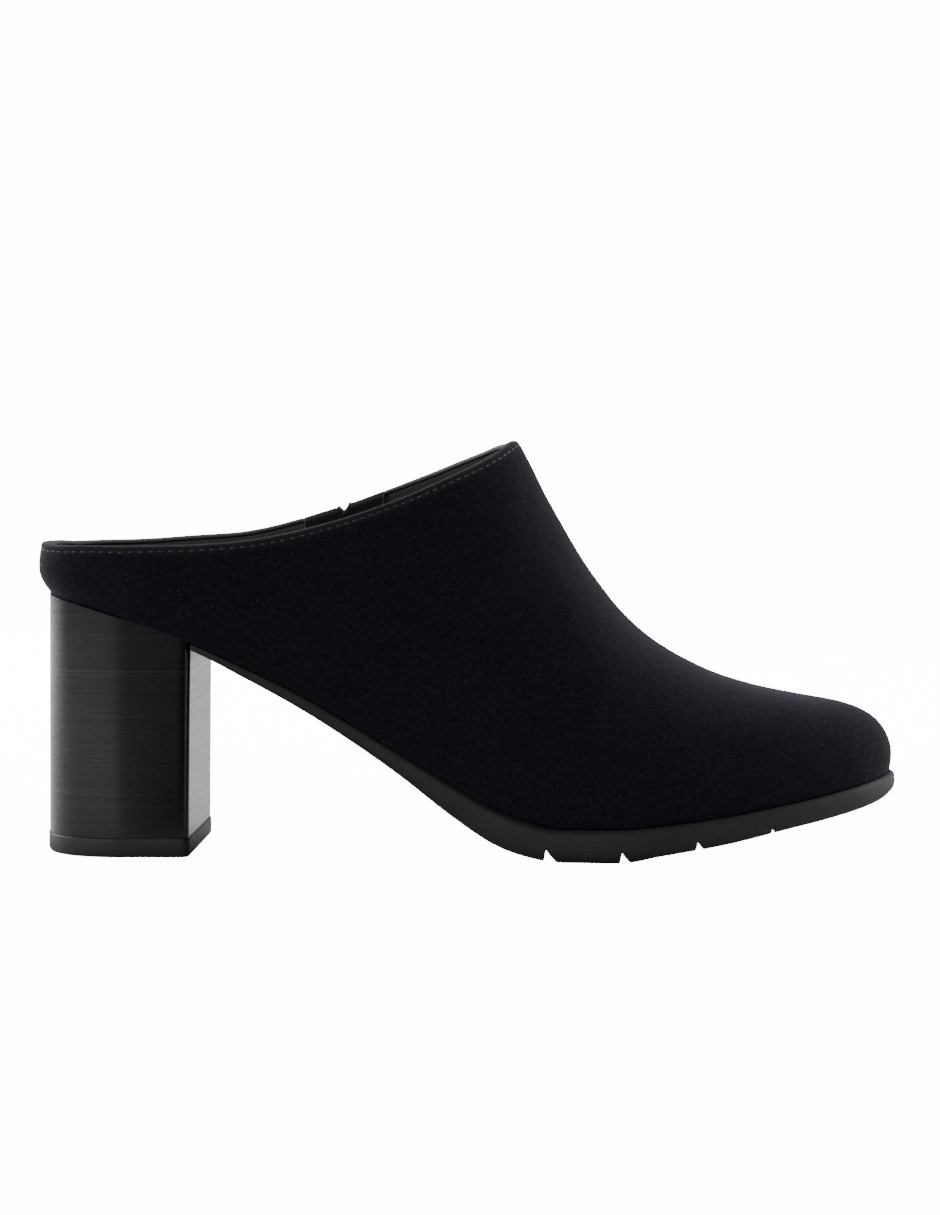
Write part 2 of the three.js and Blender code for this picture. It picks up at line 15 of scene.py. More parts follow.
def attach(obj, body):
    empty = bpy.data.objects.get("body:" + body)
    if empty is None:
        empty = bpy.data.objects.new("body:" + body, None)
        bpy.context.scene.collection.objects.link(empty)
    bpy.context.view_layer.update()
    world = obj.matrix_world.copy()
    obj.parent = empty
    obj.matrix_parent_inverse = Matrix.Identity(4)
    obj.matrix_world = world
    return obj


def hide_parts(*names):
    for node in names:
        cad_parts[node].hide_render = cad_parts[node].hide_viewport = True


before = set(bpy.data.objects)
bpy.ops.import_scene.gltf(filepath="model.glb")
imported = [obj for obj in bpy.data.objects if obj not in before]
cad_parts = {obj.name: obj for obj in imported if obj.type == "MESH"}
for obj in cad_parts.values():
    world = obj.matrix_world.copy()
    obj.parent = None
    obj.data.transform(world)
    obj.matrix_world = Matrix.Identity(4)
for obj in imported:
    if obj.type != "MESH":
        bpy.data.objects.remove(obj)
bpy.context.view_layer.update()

MM = 0.001
TAU = 2 * math.pi

# Driving sizes, as in the part's source, in millimetres
LENGTH = 250.0
MIDDLE = 0.5014
BALL_WIDTH = 80.0
SEAT_HEIGHT = 74.6
UPPER_HEIGHT = 105.5
TOE_SPRING = 12.5
WALL = 2.4
COUNTER_WALL = 3.2
COUNTER_FADE = (0.16, 0.34)
TUCK = 4.3
TUCK_HEIGHT = 8.0
TOE_FALL = 0.16
GORE_WIDTH = 24.2
GORE_DEPTH = 34.0
GORE_THICKNESS = 1.1
GORE_PLACE = 0.352
GORE_SIDE = 2.5
SLIT_WIDTH = 0.6
SLIT_DEPTH = 27.0
NOTCH_WIDTH = 2.2
NOTCH_DEPTH = 2.0
SOLE_THICKNESS = 9.7
SOLE_LIP = 2.0
EDGE_ROUND = 3.4
GROOVE_WIDTH = 3.9
GROOVE_DEPTH = 3.6
GROOVE_PITCH = 21.2
FIRST_GROOVE = 0.593
GROOVE_HEEL_WALL = 0.3
INSOLE_THICKNESS = 3.5
HEEL_LENGTH = 43.0
HEEL_WIDTH = 51.0
HEEL_SETBACK = 2.9
BACK_RAKE = 0.5
HEEL_BACK_DEPTH = 25.0
HEEL_BACK_SQUARE = 2.3
BREAST_CORNER = 2.2
BREAST_RAKE = 1.3
LIFT_HEIGHT = 5.4
LIFT_LIP = 0.3
CLEARANCE = 0.3

# The collar's finish
FOLD_ROUND = 0.72  # radius of the folded edge
TIP_ROUND = 1.5  # the same at the throat's tip
TIP_FROM = (12.5, 15.5)  # x over which it grows
STITCH_DROP = 1.7  # stitch line below the edge
STITCH_PITCH = ((-125, -50, -34, 12), (2.95, 2.9, 2.4, 2.6))  # pitch at places along the shoe
STITCH_LENGTH = 1.25
HOLE_LENGTH = 0.8  # a dark capsule at one end of each stitch, as painted shade of the needle hole
STITCH_THICK = 0.32
STITCH_SPREAD = 0.62  # half a stitch's width, in thicknesses
STITCH_RISE = 0.06  # height of its middle above the fabric
STITCH_SINK = 0.16  # how far its ends go down
STITCH_BLUNT = 3.5  # exponent of its outline: 2 is an ellipse, more is blunter
STITCH_ALONG, STITCH_AROUND = 11, 10  # points along a stitch and round it
HOLE_THICK, HOLE_SPREAD = 0.1, 0.2
HOLE_OVERLAP = 0.1
STITCH_GROOVE = 0.2  # depth that the stitches pull into the fabric
STITCH_GROOVE_WIDTH = 0.5


def table(columns, rows):
    """A table with named columns: a dictionary of arrays."""
    return dict(zip(columns.split(), np.array(rows, float).T))


PROFILE = table("along rise spring thick", [
    (0.0, 1.0, 0.0, 0.2),
    (0.08, 0.935, 0.0, 0.2),
    (0.188, 0.8, 0.0, 0.22),
    (0.248, 0.696, 0.0, 0.33),
    (0.316, 0.569, 0.0, 0.46),
    (0.372, 0.445, 0.0, 0.55),
    (0.428, 0.317, 0.0, 0.7),
    (0.484, 0.193, 0.0, 0.98),
    (0.54, 0.0755, 0.0, 1.1),
    (0.58, 0.02, 0.0, 1.04),
    (0.608, 0.0, 0.0, 1.0),
    (0.676, 0.0, 0.0, 1.0),
    (0.72, 0.0, 0.07, 0.9),
    (0.8, 0.0, 0.264, 0.82),
    (0.86, 0.0, 0.46, 0.75),
    (0.92, 0.0, 0.67, 0.73),
    (0.97, 0.0, 0.87, 0.71),
    (1.0, 0.0, 1.0, 0.64),
])

COLLAR = table("along lateral medial", [
    (0.0, 0.1305, 0.1325),
    (0.056, 0.158, 0.1635),
    (0.112, 0.193, 0.202),
    (0.172, 0.245, 0.2595),
    (0.236, 0.3165, 0.3345),
    (0.296, 0.404, 0.4355),
    (0.356, 0.52, 0.557),
    (0.418, 0.657, 0.6965),
    (0.479, 0.797, 0.8355),
    (0.52, 0.893, 0.928),
    (0.54, 0.943, 0.971),
    (0.5616, 1.0, 1.0),
])

# Ribs: the place of the foot in plan, then the spine, the fan and the superellipse's exponent
RIBS = table("along lateral medial tuck lip peak_along peak_high peak_side fan square", [
    (0.0014, 0.0, 0.0, 0.81, 0.0, 0.116, 0.607, 0.0, 1.0, 2.3),
    (0.0115, 0.156, 0.156, 0.8, 0.0, 0.118, 0.612, 0.0, 1.0, 2.3),
    (0.044, 0.281, 0.279, 0.78, 0.0, 0.132, 0.64, 0.0, 0.9, 2.3),
    (0.104, 0.352, 0.345, 0.78, 0.0, 0.188, 0.74, 0.0, 0.5, 2.25),
    (0.184, 0.37, 0.353, 0.8, 0.1, 0.292, 0.93, 0.006, 0.15, 2.2),
    (0.284, 0.3775, 0.3425, 0.93, 0.2, 0.42, 1.12, 0.019, 0.0, 2.1),
    (0.376, 0.3925, 0.345, 1.0, 0.3, 0.504, 1.15, 0.031, 0.0, 2.05),
    (0.444, 0.415, 0.36, 0.93, 0.45, 0.5616, 1.0, 0.04, 0.0, 2.0),
    (0.512, 0.4475, 0.395, 0.74, 0.65, 0.597, 0.858, 0.042, 0.0, 2.0),
    (0.596, 0.486, 0.455, 0.51, 0.85, 0.646, 0.667, 0.042, 0.0, 2.05),
    (0.68, 0.5, 0.498, 0.35, 1.0, 0.708, 0.489, 0.04, 0.05, 2.1),
    (0.764, 0.471, 0.497, 0.28, 1.0, 0.772, 0.379, 0.038, 0.2, 2.25),
    (0.844, 0.408, 0.46, 0.26, 0.95, 0.832, 0.307, 0.035, 0.45, 2.45),
    (0.912, 0.316, 0.388, 0.23, 0.9, 0.874, 0.268, 0.033, 0.75, 2.65),
    (0.96, 0.21, 0.292, 0.21, 0.85, 0.898, 0.249, 0.031, 0.92, 2.8),
    (0.9885, 0.09, 0.162, 0.19, 0.8, 0.912, 0.238, 0.031, 1.0, 2.9),
    (0.9985, -0.031, 0.031, 0.19, 0.8, 0.916, 0.234, 0.031, 1.0, 2.9),
])


def slopes(x, y):
    """Three-point slope at each row, held back so that the curve never overshoots."""
    run = np.diff(x)
    rate = np.diff(y) / run
    mean = (rate[:-1] * run[1:] + rate[1:] * run[:-1]) / (run[:-1] + run[1:])
    most = 3 * np.minimum(abs(rate[:-1]), abs(rate[1:]))
    inner = np.where(rate[:-1] * rate[1:] > 0, np.sign(mean) * np.minimum(abs(mean), most), 0)
    return np.concatenate([rate[:1], inner, rate[-1:]])


def read(rows, key, column, at):
    """A table's column at a place, on the smooth cubic through its rows."""
    x, y = rows[key], rows[column]
    slope = slopes(x, y)
    i = np.clip(np.searchsorted(x, at) - 1, 0, len(x) - 2)
    span = x[i + 1] - x[i]
    u = np.clip((at - x[i]) / span, 0, 1)
    a, b = y[i], y[i + 1]
    p, q = slope[i] * span, slope[i + 1] * span
    return a + u * (p + u * (3 * (b - a) - 2 * p - q + u * (p + q - 2 * (b - a))))


def eased(share):
    """A share from 0 to 1 that starts and ends softly: three squares less two cubes."""
    return share * share * (3 - 2 * share)


def to_x(along):
    """X of a share of the length from the back."""
    return (along - MIDDLE) * LENGTH


def to_along(x):
    """Share of the length from the back, at an x."""
    return x / LENGTH + MIDDLE


def seam(x):
    """Height of the seam under the upper."""
    at = to_along(x)
    rise = (SEAT_HEIGHT - SOLE_THICKNESS) * read(PROFILE, "along", "rise", at)
    return SOLE_THICKNESS + rise + TOE_SPRING * read(PROFILE, "along", "spring", at)


SEAT_LIFT = ((-125, -121, -116, -110, -100), (1.2, 1.05, 0.78, 0.4, 0))  # over x
SEAT_LIFT_FADE = 12  # height above the seam over which it fades out


def seat_lift(x):
    """How much higher the seat's edge lies at the very back in the photo than in the part."""
    return np.interp(x, *SEAT_LIFT)


def seated(points):
    """Points with the lift of the seat, which fades out above it."""
    height = np.clip((points[..., 2] - seam(points[..., 0])) / SEAT_LIFT_FADE, 0, 1)
    lifted = points.copy()
    lifted[..., 2] += seat_lift(points[..., 0]) * (1 - height) ** 2
    return lifted


def thickness(x):
    """Thickness of the sole."""
    return SOLE_THICKNESS * read(PROFILE, "along", "thick", to_along(x))


SIDE_BLEND = 0.05  # place on the ring up to which the collar's two sides run into each other at the back


def collar_height(x, place):
    """Height of the collar's edge on the side that the place is on. The sides blend at the back."""
    at = to_along(x)
    share = eased(np.clip((place / SIDE_BLEND + 1) / 2, 0, 1))
    lateral, medial = read(COLLAR, "along", "lateral", at), read(COLLAR, "along", "medial", at)
    return seam(x) + UPPER_HEIGHT * (medial + (lateral - medial) * share)


def ring_of_ribs():
    """The ribs in a ring, and the throat's place on it.

    Place 0 is at the back and 1 at the tip, + on the lateral and - on the medial side. One rib more
    follows past the tip at either end.
    """
    width = (RIBS["lateral"] + RIBS["medial"]) / 2
    chords = np.hypot(np.diff(RIBS["along"]) * LENGTH, np.diff(width) * BALL_WIDTH)
    places = np.concatenate([[0], np.cumsum(chords)])
    places /= places[-1]
    order = np.arange(len(places))
    rows = np.concatenate([[order[-2]], order[:0:-1], order, [order[-2]]])
    ring = {name: column[rows] for name, column in RIBS.items()}
    ring["place"] = np.concatenate([[places[-2] - 2], -places[:0:-1], places, [2 - places[-2]]])
    sides = [[-RIBS["lateral"][-2]], RIBS["medial"][:0:-1], -RIBS["lateral"], [RIBS["medial"][-2]]]
    ring["side"] = np.concatenate(sides)
    throat = int(np.argmax(RIBS["peak_high"] == 1.0))
    return ring, places[throat]


RING, THROAT_PLACE = ring_of_ribs()


def ring(column, place):
    """A column of the ribs at a place on the ring."""
    return read(RING, "place", column, place)


def unit(vectors):
    """Vectors brought to length 1."""
    return vectors / np.maximum(np.linalg.norm(vectors, axis=-1, keepdims=True), 1e-12)


def arc_length(points):
    """Length along chains of points from the first one: the running sum of their steps."""
    steps = np.linalg.norm(np.diff(points, axis=0), axis=-1)
    return np.concatenate([np.zeros((1,) + steps.shape[1:]), np.cumsum(steps, 0)])


def outline(place, out=0.0):
    """Plan of the upper's widest outline, moved out along the outline's normal."""
    def point(at):
        return np.stack([to_x(ring("along", at)), ring("side", at) * BALL_WIDTH], -1)
    step = 1e-4
    run = unit(point(place + step) - point(place - step))
    normal = np.stack([run[..., 1], -run[..., 0]], -1)
    return point(place) + normal * np.asarray(out)[..., None]


def foot(place):
    """A rib's foot on the seam, where the upper has rolled in under itself."""
    at = outline(place, -TUCK * ring("tuck", place))
    return np.concatenate([at, seam(at[..., :1])], -1)


def outside(place, t):
    """The upper's outer face: a quarter superellipse from the foot (t 0) to the spine (t 1).

    Below the tuck's height the outline moves in towards the foot, by a square law.
    """
    place, t = np.broadcast_arrays(place, t)
    wide = outline(place)
    foot_height = foot(place)[..., 2]
    spine_x = to_x(ring("peak_along", place))
    spine_y = ring("peak_side", place) * BALL_WIDTH
    spine_z = seam(spine_x) + UPPER_HEIGHT * ring("peak_high", place)
    spine = np.stack([spine_x, spine_y, spine_z], -1)
    forward = (wide[..., 0] - spine_x) * ring("fan", place)
    over = np.stack([forward, wide[..., 1] - spine_y, -TOE_FALL * np.maximum(0, forward)], -1)
    down = np.stack([wide[..., 0] - spine_x - forward, 0 * forward, foot_height - spine_z - over[..., 2]], -1)
    c, s = np.cos(t * math.pi / 2), np.sin(t * math.pi / 2)
    square = ring("square", place)
    reach = (c**square + s**square) ** (-1 / square)
    point = spine + over * (reach * c)[..., None] + down * (1 - reach * s)[..., None]
    left = np.maximum(0, 1 - (point[..., 2] - foot_height) / TUCK_HEIGHT)
    tucked = outline(place, -TUCK * ring("tuck", place) * left**2)
    point[..., :2] += tucked - wide
    return point


def outward(place, t):
    """Outward normal of the upper's outer face, from its slopes along the ring and up the rib."""
    step = 1e-3
    at = np.minimum(t, 1 - step)
    around = outside(place + step, at) - outside(place - step, at)
    up = outside(place, at + step) - outside(place, np.maximum(0, at - step))
    return unit(np.cross(around, up))


def inside(place, t, depth):
    """A point under the outer face, square to it. Near the seam the way in turns level."""
    point = outside(place, t)
    normal = outward(place, t)
    height = point[..., 2] - foot(place)[..., 2]
    free = np.clip(height / TUCK_HEIGHT, 0, 1)
    normal[..., 2] *= free
    point = point - unit(normal) * np.asarray(depth)[..., None]
    point[..., 2] += (seam(point[..., 0]) + height - point[..., 2]) * (1 - free)
    return point


def wall_at(place):
    """The wall is thicker round the heel, where the counter is."""
    first, last = COUNTER_FADE
    share = np.clip((ring("along", place) - first) / (last - first), 0, 1)
    return COUNTER_WALL + (WALL - COUNTER_WALL) * eased(share)


def last_where(test, count, steps=40):
    """For each of count values, the last share from 0 to 1 for which the test holds, by halving."""
    low, high = np.zeros(count), np.ones(count)
    for _ in range(steps):
        middle = (low + high) / 2
        holds = test(middle)
        low = np.where(holds, middle, low)
        high = np.where(holds, high, middle)
    return low


def top_of(place):
    """Where the collar cuts each rib, or 1 in front of the throat."""
    def below(t):
        point = outside(place, t)
        return point[..., 2] < collar_height(point[..., 0], place)
    return np.where(abs(place) >= THROAT_PLACE, 1.0, last_where(below, place.shape))


def grid_faces(rows, columns, around=False):
    """Quads of a grid of points, row by row, joined round its columns if asked."""
    last = columns if around else columns - 1
    r, c = np.meshgrid(np.arange(rows - 1), np.arange(last), indexing="ij")
    n = (c + 1) % columns
    corners = [r * columns + c, r * columns + n, (r + 1) * columns + n, (r + 1) * columns + c]
    return np.stack(corners, -1).reshape(-1, 4)


def face_out(work):
    """Turns the faces of a closed bmesh outwards."""
    bmesh.ops.recalc_face_normals(work, faces=work.faces)
    if work.calc_volume(signed=True) < 0:
        bmesh.ops.reverse_faces(work, faces=work.faces)


def add_values(mesh, label, values):
    """A number for each vertex, for a material to read."""
    layer = mesh.attributes.new(label, "FLOAT", "POINT")
    layer.data.foreach_set("value", np.asarray(values, np.float32).ravel())


def vertices(mesh):
    """A mesh's points, in millimetres."""
    co = np.empty(len(mesh.vertices) * 3, np.float32)
    mesh.vertices.foreach_get("co", co)
    return co.reshape(-1, 3) / MM


SHARP = 40  # degrees from which an edge is sharp
MERGE, SLIVER = 2e-6, 1e-7  # metres


def make_piece(name, points, faces, materials, slots=None, attributes=None,
               node=None, slot=None, smooth=SHARP):
    """A piece from points in millimetres and faces. Doubles are merged and normals turned out."""
    mesh = bpy.data.meshes.new(name)
    points = np.asarray(points).reshape(-1, 3) * MM
    mesh.from_pydata(points.tolist(), [], [list(face) for face in faces])
    for label, values in (attributes or {}).items():
        add_values(mesh, label, values)
    for material in materials:
        mesh.materials.append(material)
    if slots is not None:
        mesh.polygons.foreach_set("material_index", np.asarray(slots, np.int32))
    work = bmesh.new()
    work.from_mesh(mesh)
    bmesh.ops.remove_doubles(work, verts=work.verts, dist=MERGE)
    bmesh.ops.dissolve_degenerate(work, edges=work.edges, dist=SLIVER)
    face_out(work)
    work.to_mesh(mesh)
    work.free()
    mesh.shade_smooth()
    if smooth is not None:
        mesh.set_sharp_from_angle(angle=math.radians(smooth))
    piece = bpy.data.objects.new(name, mesh)
    bpy.context.collection.objects.link(piece)
    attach(piece, "root")
    if node:
        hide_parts(node)
    return piece


# Fineness of the upper's mesh
COLLAR_COLUMNS = 130
EDGE_SAMPLES = 1500  # points on an edge from which even steps are taken
COLUMN_SAMPLES = 260  # points on a column from which its rows are taken
COLUMN_BUNCH = 1.4  # exponent that brings them closer together at the rim
CHUNK = 2000  # points that are measured at a time
STRIP_ROWS = 9  # rows across the rim, with its two edges
RIM_CROWN = 0.12  # how far the rim swells between them
UPPER_SHARP = 50  # degrees from which an edge is sharp
VAMP_STEP = 1.35  # column spacing over the vamp
LEAN = 0.2  # how far the feet of the throat's columns lean towards the toe, as a place on the ring
RIM_ROWS = (0, 0.1, 0.2, 0.35, 0.5, 0.7, 0.9, 1.1, 1.3, 1.5, 1.7, 1.9, 2.1, 2.3, 2.5, 2.8, 3.2, 3.8)
LINING_ROWS = (0, 0.12, 0.25, 0.4, 0.58, 0.76, 0.9, 1.02, 1.14, 1.26, 1.38, 1.52, 1.7, 2.0, 2.6, 3.6)
OUTER_ROWS = 62
INNER_ROWS = 36
RIM_REACH = 12.0  # beyond this distance the collar's finish is not felt
LINING_ROUND = 0.6  # radius of the lining's edge
LINING_INSET = 0.3  # the looks of the lining are measured from a line this far outside the inner face
NEAR_ROWS = 40  # rows below the rim among which the stitch line lies
CREVICE = 0.38  # depth of the gap between the fold and the lining
CREVICE_DROP = 1.15  # its place below the rim, inside
CREVICE_WIDTH = 0.24

# How far the soft edge stands up above the collar's line, on each side. The gore leaves it low.
RIM_RISE = table("x lateral medial", [
    (-125.5, 1.5, 1.5), (-122.5, 1.3, 1.3), (-119, 0.8, 0.8), (-115, 0.75, 0.75),
    (-105, 0.7, 0.5), (-93, 0.5, 0.4), (-79, 0.15, 0.3), (-64, 0.45, 0.6),
    (-52, 0.5, 0.4), (-49.9, 0.42, 0.38), (-49.2, 0.4, 0.0), (-25.5, 0.12, 0.0),
    (-24.8, 0.12, 0.35), (-17, 0.12, 0.38), (-5, 0.6, 0.42), (4, 1.05, 0.45),
    (9.5, 1.15, 0.45), (12, 1.2, 0.6), (16, 1.55, 1.55),
])


def spine_place(place, t):
    """Both sides meet on the spine, so they share its points."""
    return np.where(t >= 1, abs(place), place)


def collar_ends(sign):
    """Place, t and lean of the columns behind the throat: even steps of arc along the collar's edge."""
    share = np.linspace(0, 1, EDGE_SAMPLES)
    place = THROAT_PLACE * (1 - (1 - share) ** 2)
    point = outside(sign * place, top_of(sign * place))
    arc = arc_length(point)
    steps = np.linspace(0, 1, COLLAR_COLUMNS + 1)
    place = np.interp(steps * arc[-1], arc, place)
    place[-1] = THROAT_PLACE
    return place, top_of(sign * place), steps**2


def vamp_ends():
    """Place and lean of the columns in front of the throat: fine steps at the throat, then even ones."""
    place = np.linspace(THROAT_PLACE, 1, EDGE_SAMPLES)
    arc = arc_length(outside(place, np.ones_like(place)))
    fine = np.interp(RIM_ROWS[1:], arc, place)
    measure = (arc + arc_length(foot(place))) / 2
    start = np.interp(fine[-1], place, measure)
    count = int(np.ceil((measure[-1] - start) / VAMP_STEP))
    even = np.interp(np.linspace(start, measure[-1], count + 1)[1:], measure, place)
    ends = np.concatenate([fine, even])
    ends[-1] = 1.0
    return ends, 1 - (ends - THROAT_PLACE) / (1 - THROAT_PLACE)


def half_columns(sign):
    """Columns of one side: the place and t of each end, and the place of each foot."""
    rim_place, rim_t, rim_lean = collar_ends(sign)
    vamp_place, vamp_lean = vamp_ends()
    end = np.concatenate([rim_place, vamp_place])
    t = np.concatenate([rim_t, np.ones(len(vamp_place))])
    base = end + LEAN * np.concatenate([rim_lean, vamp_lean])
    return sign * end, t, sign * base


def ring_columns():
    """Both sides as one ring: lateral from the back to the tip, then medial back again."""
    lateral, medial = half_columns(1), half_columns(-1)
    return [np.concatenate([a, b[-2:0:-1]]) for a, b in zip(lateral, medial)]


END, END_T, BASE = ring_columns()
HALF = len(END) // 2  # column at the tip
RIM_FRONT = len(END) - COLLAR_COLUMNS + 1  # first column behind the throat on the medial side
RIM = np.concatenate([np.arange(COLLAR_COLUMNS + 1), np.arange(RIM_FRONT, len(END))])
RIM_POINTS = outside(spine_place(END[RIM], END_T[RIM]), END_T[RIM])


def to_chain(points, chain):
    """Distance from each point to a closed chain of straight pieces, and where on the chain that is."""
    run = np.roll(chain, -1, 0) - chain
    long = (run**2).sum(-1)
    nearest, where = np.empty(len(points)), np.empty(len(points))
    for start in range(0, len(points), CHUNK):
        part = slice(start, start + CHUNK)
        off = points[part, None] - chain
        share = np.clip((off * run).sum(-1) / long, 0, 1)
        gap = ((off - share[..., None] * run) ** 2).sum(-1)
        best = gap.argmin(1)
        row = np.arange(len(best))
        nearest[part] = np.sqrt(gap[row, best])
        where[part] = best + share[row, best]
    return nearest, where


def rim_rise():
    """The soft edge's rise at each rim column, as a vector."""
    share = np.clip((END[RIM] / SIDE_BLEND + 1) / 2, 0, 1)
    lateral = np.interp(RIM_POINTS[:, 0], RIM_RISE["x"], RIM_RISE["lateral"])
    medial = np.interp(RIM_POINTS[:, 0], RIM_RISE["x"], RIM_RISE["medial"])
    return (medial + (lateral - medial) * share)[:, None] * rim_frames()[1]


def raised(bare):
    """Distance of each point of the outer face from the collar, and its share of the edge's rise.

    The rise fades out with the square of what is left of RIM_REACH.
    """
    distance, where = to_chain(bare.reshape(-1, 3), RIM_POINTS)
    first = where.astype(int) % len(RIM_POINTS)
    share = (where - where.astype(int))[:, None]
    rise = RISE[first] * (1 - share) + RISE[(first + 1) % len(RISE)] * share
    fade = np.clip(1 - distance / RIM_REACH, 0, 1) ** 2
    return distance.reshape(bare.shape[:-1]), (rise * fade[:, None]).reshape(bare.shape)


def on_column(distance):
    """Place and t at a distance down each column from its end. distance: rows by columns."""
    share = 1 - np.linspace(0, 1, COLUMN_SAMPLES)[:, None] ** COLUMN_BUNCH
    place = BASE + (END - BASE) * share
    t = END_T * share
    arc = arc_length(outside(place, t))
    down = distance(arc[-1])
    found = np.empty((2,) + down.shape)
    for column in range(len(END)):
        at = np.interp(down[:, column], arc[:, column], share[:, 0])
        found[0, :, column] = BASE[column] + (END[column] - BASE[column]) * at
        found[1, :, column] = END_T[column] * at
    return found[0], found[1]


LEAST_SQUARE = 0.2  # least square of the sine of the angle between a column and the collar
STRETCH_FADE = 30  # columns in front of the throat over which the stretch fades out


def stretch():
    """How much further the rim's rows lie down each column that meets the collar at a slant."""
    step = 1e-3
    here = outside(END, END_T)
    below = outside(BASE + (END - BASE) * (1 - step), END_T * (1 - step))
    way = unit(here - below)
    factor = np.ones(len(END))
    along = unit(np.roll(RIM_POINTS, -1, 0) - np.roll(RIM_POINTS, 1, 0))
    factor[RIM] = 1 / np.sqrt(np.maximum(1 - (way[RIM] * along).sum(-1) ** 2, LEAST_SQUARE))
    peak = factor[COLLAR_COLUMNS]
    steps = np.arange(1, HALF - COLLAR_COLUMNS + 1)
    fade = 1 + (peak - 1) * np.maximum(0, 1 - steps / STRETCH_FADE)
    factor[COLLAR_COLUMNS + 1:HALF + 1] = fade
    factor[HALF:len(END) - COLLAR_COLUMNS] = fade[::-1]
    return factor


STRETCH = stretch()


def rows_down(near, count):
    """Distances down the columns: the given ones, stretched, then even ones to the foot."""
    def distance(whole):
        fine = np.array(near)[:, None] * STRETCH
        share = np.linspace(0, 1, count - len(near) + 1)[1:, None]
        return np.concatenate([fine, fine[-1] + (whole - fine[-1]) * share])
    return distance


def fold_round(x):
    """Radius of the folded edge: larger at the throat's tip."""
    return np.interp(x, TIP_FROM, (FOLD_ROUND, TIP_ROUND))


def rounded(distance, radius):
    """Depth of a quarter circle that rounds an edge off, at a distance from the edge."""
    left = np.clip(radius - distance, 0, radius)
    return radius - np.sqrt(radius**2 - left**2)


# Soft troughs (+) and ridges (-) over the instep and the toe, in the side view:
# from x, z to x, z, then half the width and the depth
CREASES = [
    ((18, 96), (42, 72), 5.0, 0.16),
    ((26, 98), (50, 74), 4.5, -0.12),
    ((8, 74), (36, 50), 7.0, 0.14),
    ((54, 52), (82, 33), 8.0, 0.12),
    ((-60, 86), (-84, 72), 8.0, 0.12),
]

# The padded edge at the back: its swell, the x where it begins and the length over which it grows,
# then the drop of its middle below the collar and half its width
PAD_RISE = 0.38
PAD_FROM, PAD_GROWTH = -113, 8
PAD_DROP, PAD_WIDTH = 5, 4

# Padding of the vamp over x, and the distances from the rim and the seam over which it fades out
VAMP_RISE = (
    (-20, 12, 18, 30, 45, 57, 75, 95, 115, 124),
    (0, 0.45, 0.25, 0.3, 0.25, 0.7, 0.52, 0.42, 0.2, 0.1),
)
VAMP_FADE = (1.5, 8.0)


def creases(points):
    """Soft rises and falls across the upper: a bell curve of the distance from a line in the side view."""
    depth = np.zeros(points.shape[:-1])
    flat = points[..., [0, 2]]
    for start, end, width, deep in CREASES:
        run = np.subtract(end, start)
        share = np.clip(((flat - start) * run).sum(-1) / (run**2).sum(), 0, 1)
        gap = np.linalg.norm(flat - start - share[..., None] * run, axis=-1)
        depth += deep * np.exp(-((gap / width) ** 2))
    return depth


def fabric_depth(points, distance):
    """How far the fabric lies under its true surface.

    It is the fold's rounding, the stitches' pull and the creases, less the padding. The back is padded
    below the collar, and the vamp by a table over x that fades out at the rim and the seam.
    """
    back = np.clip((PAD_FROM - points[..., 0]) / PAD_GROWTH, 0, 1)
    pad = PAD_RISE * back * np.exp(-(((distance - PAD_DROP) / PAD_WIDTH) ** 2))
    vamp = np.interp(points[..., 0], *VAMP_RISE) * np.clip(distance / VAMP_FADE[0], 0, 1)
    pad = pad + vamp * np.clip((points[..., 2] - seam(points[..., 0])) / VAMP_FADE[1], 0, 1)
    pull = STITCH_GROOVE * np.exp(-(((distance - STITCH_DROP) / STITCH_GROOVE_WIDTH) ** 2))
    fold = rounded(distance, fold_round(points[..., 0]))
    return fold + pull - pad + creases(points) * np.clip(distance / RIM_REACH, 0, 1)


def rim_frames():
    """The upper's normal at each rim column, and the way up out of the shoe, square to the collar."""
    place = END[RIM]
    normal = outward(spine_place(place, END_T[RIM]), END_T[RIM])
    along = unit(np.roll(RIM_POINTS, -1, 0) - np.roll(RIM_POINTS, 1, 0))
    out = unit(np.cross(along, normal))
    near = 0.99
    below = outside(BASE[RIM] + (place - BASE[RIM]) * near, END_T[RIM] * near)
    out *= np.sign(((RIM_POINTS - below) * out).sum(-1, keepdims=True))
    return normal, out


RISE = rim_rise()


def cut(piece, points, faces):
    """Takes a closed mesh, in millimetres, out of a piece."""
    mesh = bpy.data.meshes.new("cutter")
    mesh.from_pydata((np.asarray(points) * MM).tolist(), [], [list(face) for face in faces])
    work = bmesh.new()
    work.from_mesh(mesh)
    face_out(work)
    work.to_mesh(mesh)
    work.free()
    tool = bpy.data.objects.new("cutter", mesh)
    bpy.context.collection.objects.link(tool)
    modifier = piece.modifiers.new("cut", "BOOLEAN")
    modifier.operation = "DIFFERENCE"
    modifier.solver = "EXACT"
    modifier.object = tool
    depsgraph = bpy.context.evaluated_depsgraph_get()
    depsgraph.update()
    made = bpy.data.meshes.new_from_object(piece.evaluated_get(depsgraph))
    piece.modifiers.clear()
    old = piece.data
    piece.data = made
    bpy.data.meshes.remove(old)
    bpy.data.objects.remove(tool)
    bpy.data.meshes.remove(mesh)


def bars(sections, low, high):
    """Bars along Y, each with a section drawn in the side view."""
    points, faces = [], []
    for section in sections:
        first, count = len(points), len(section)
        points += [(x, low, z) for x, z in section] + [(x, high, z) for x, z in section]
        faces.append(tuple(range(first + count - 1, first - 1, -1)))
        faces.append(tuple(range(first + count, first + 2 * count)))
        for i in range(count):
            n = (i + 1) % count
            faces.append((first + i, first + n, first + count + n, first + count + i))
    return points, faces


GORE_X = to_x(GORE_PLACE)
GORE_RIM = float(collar_height(np.array(GORE_X), np.array(-1.0)))


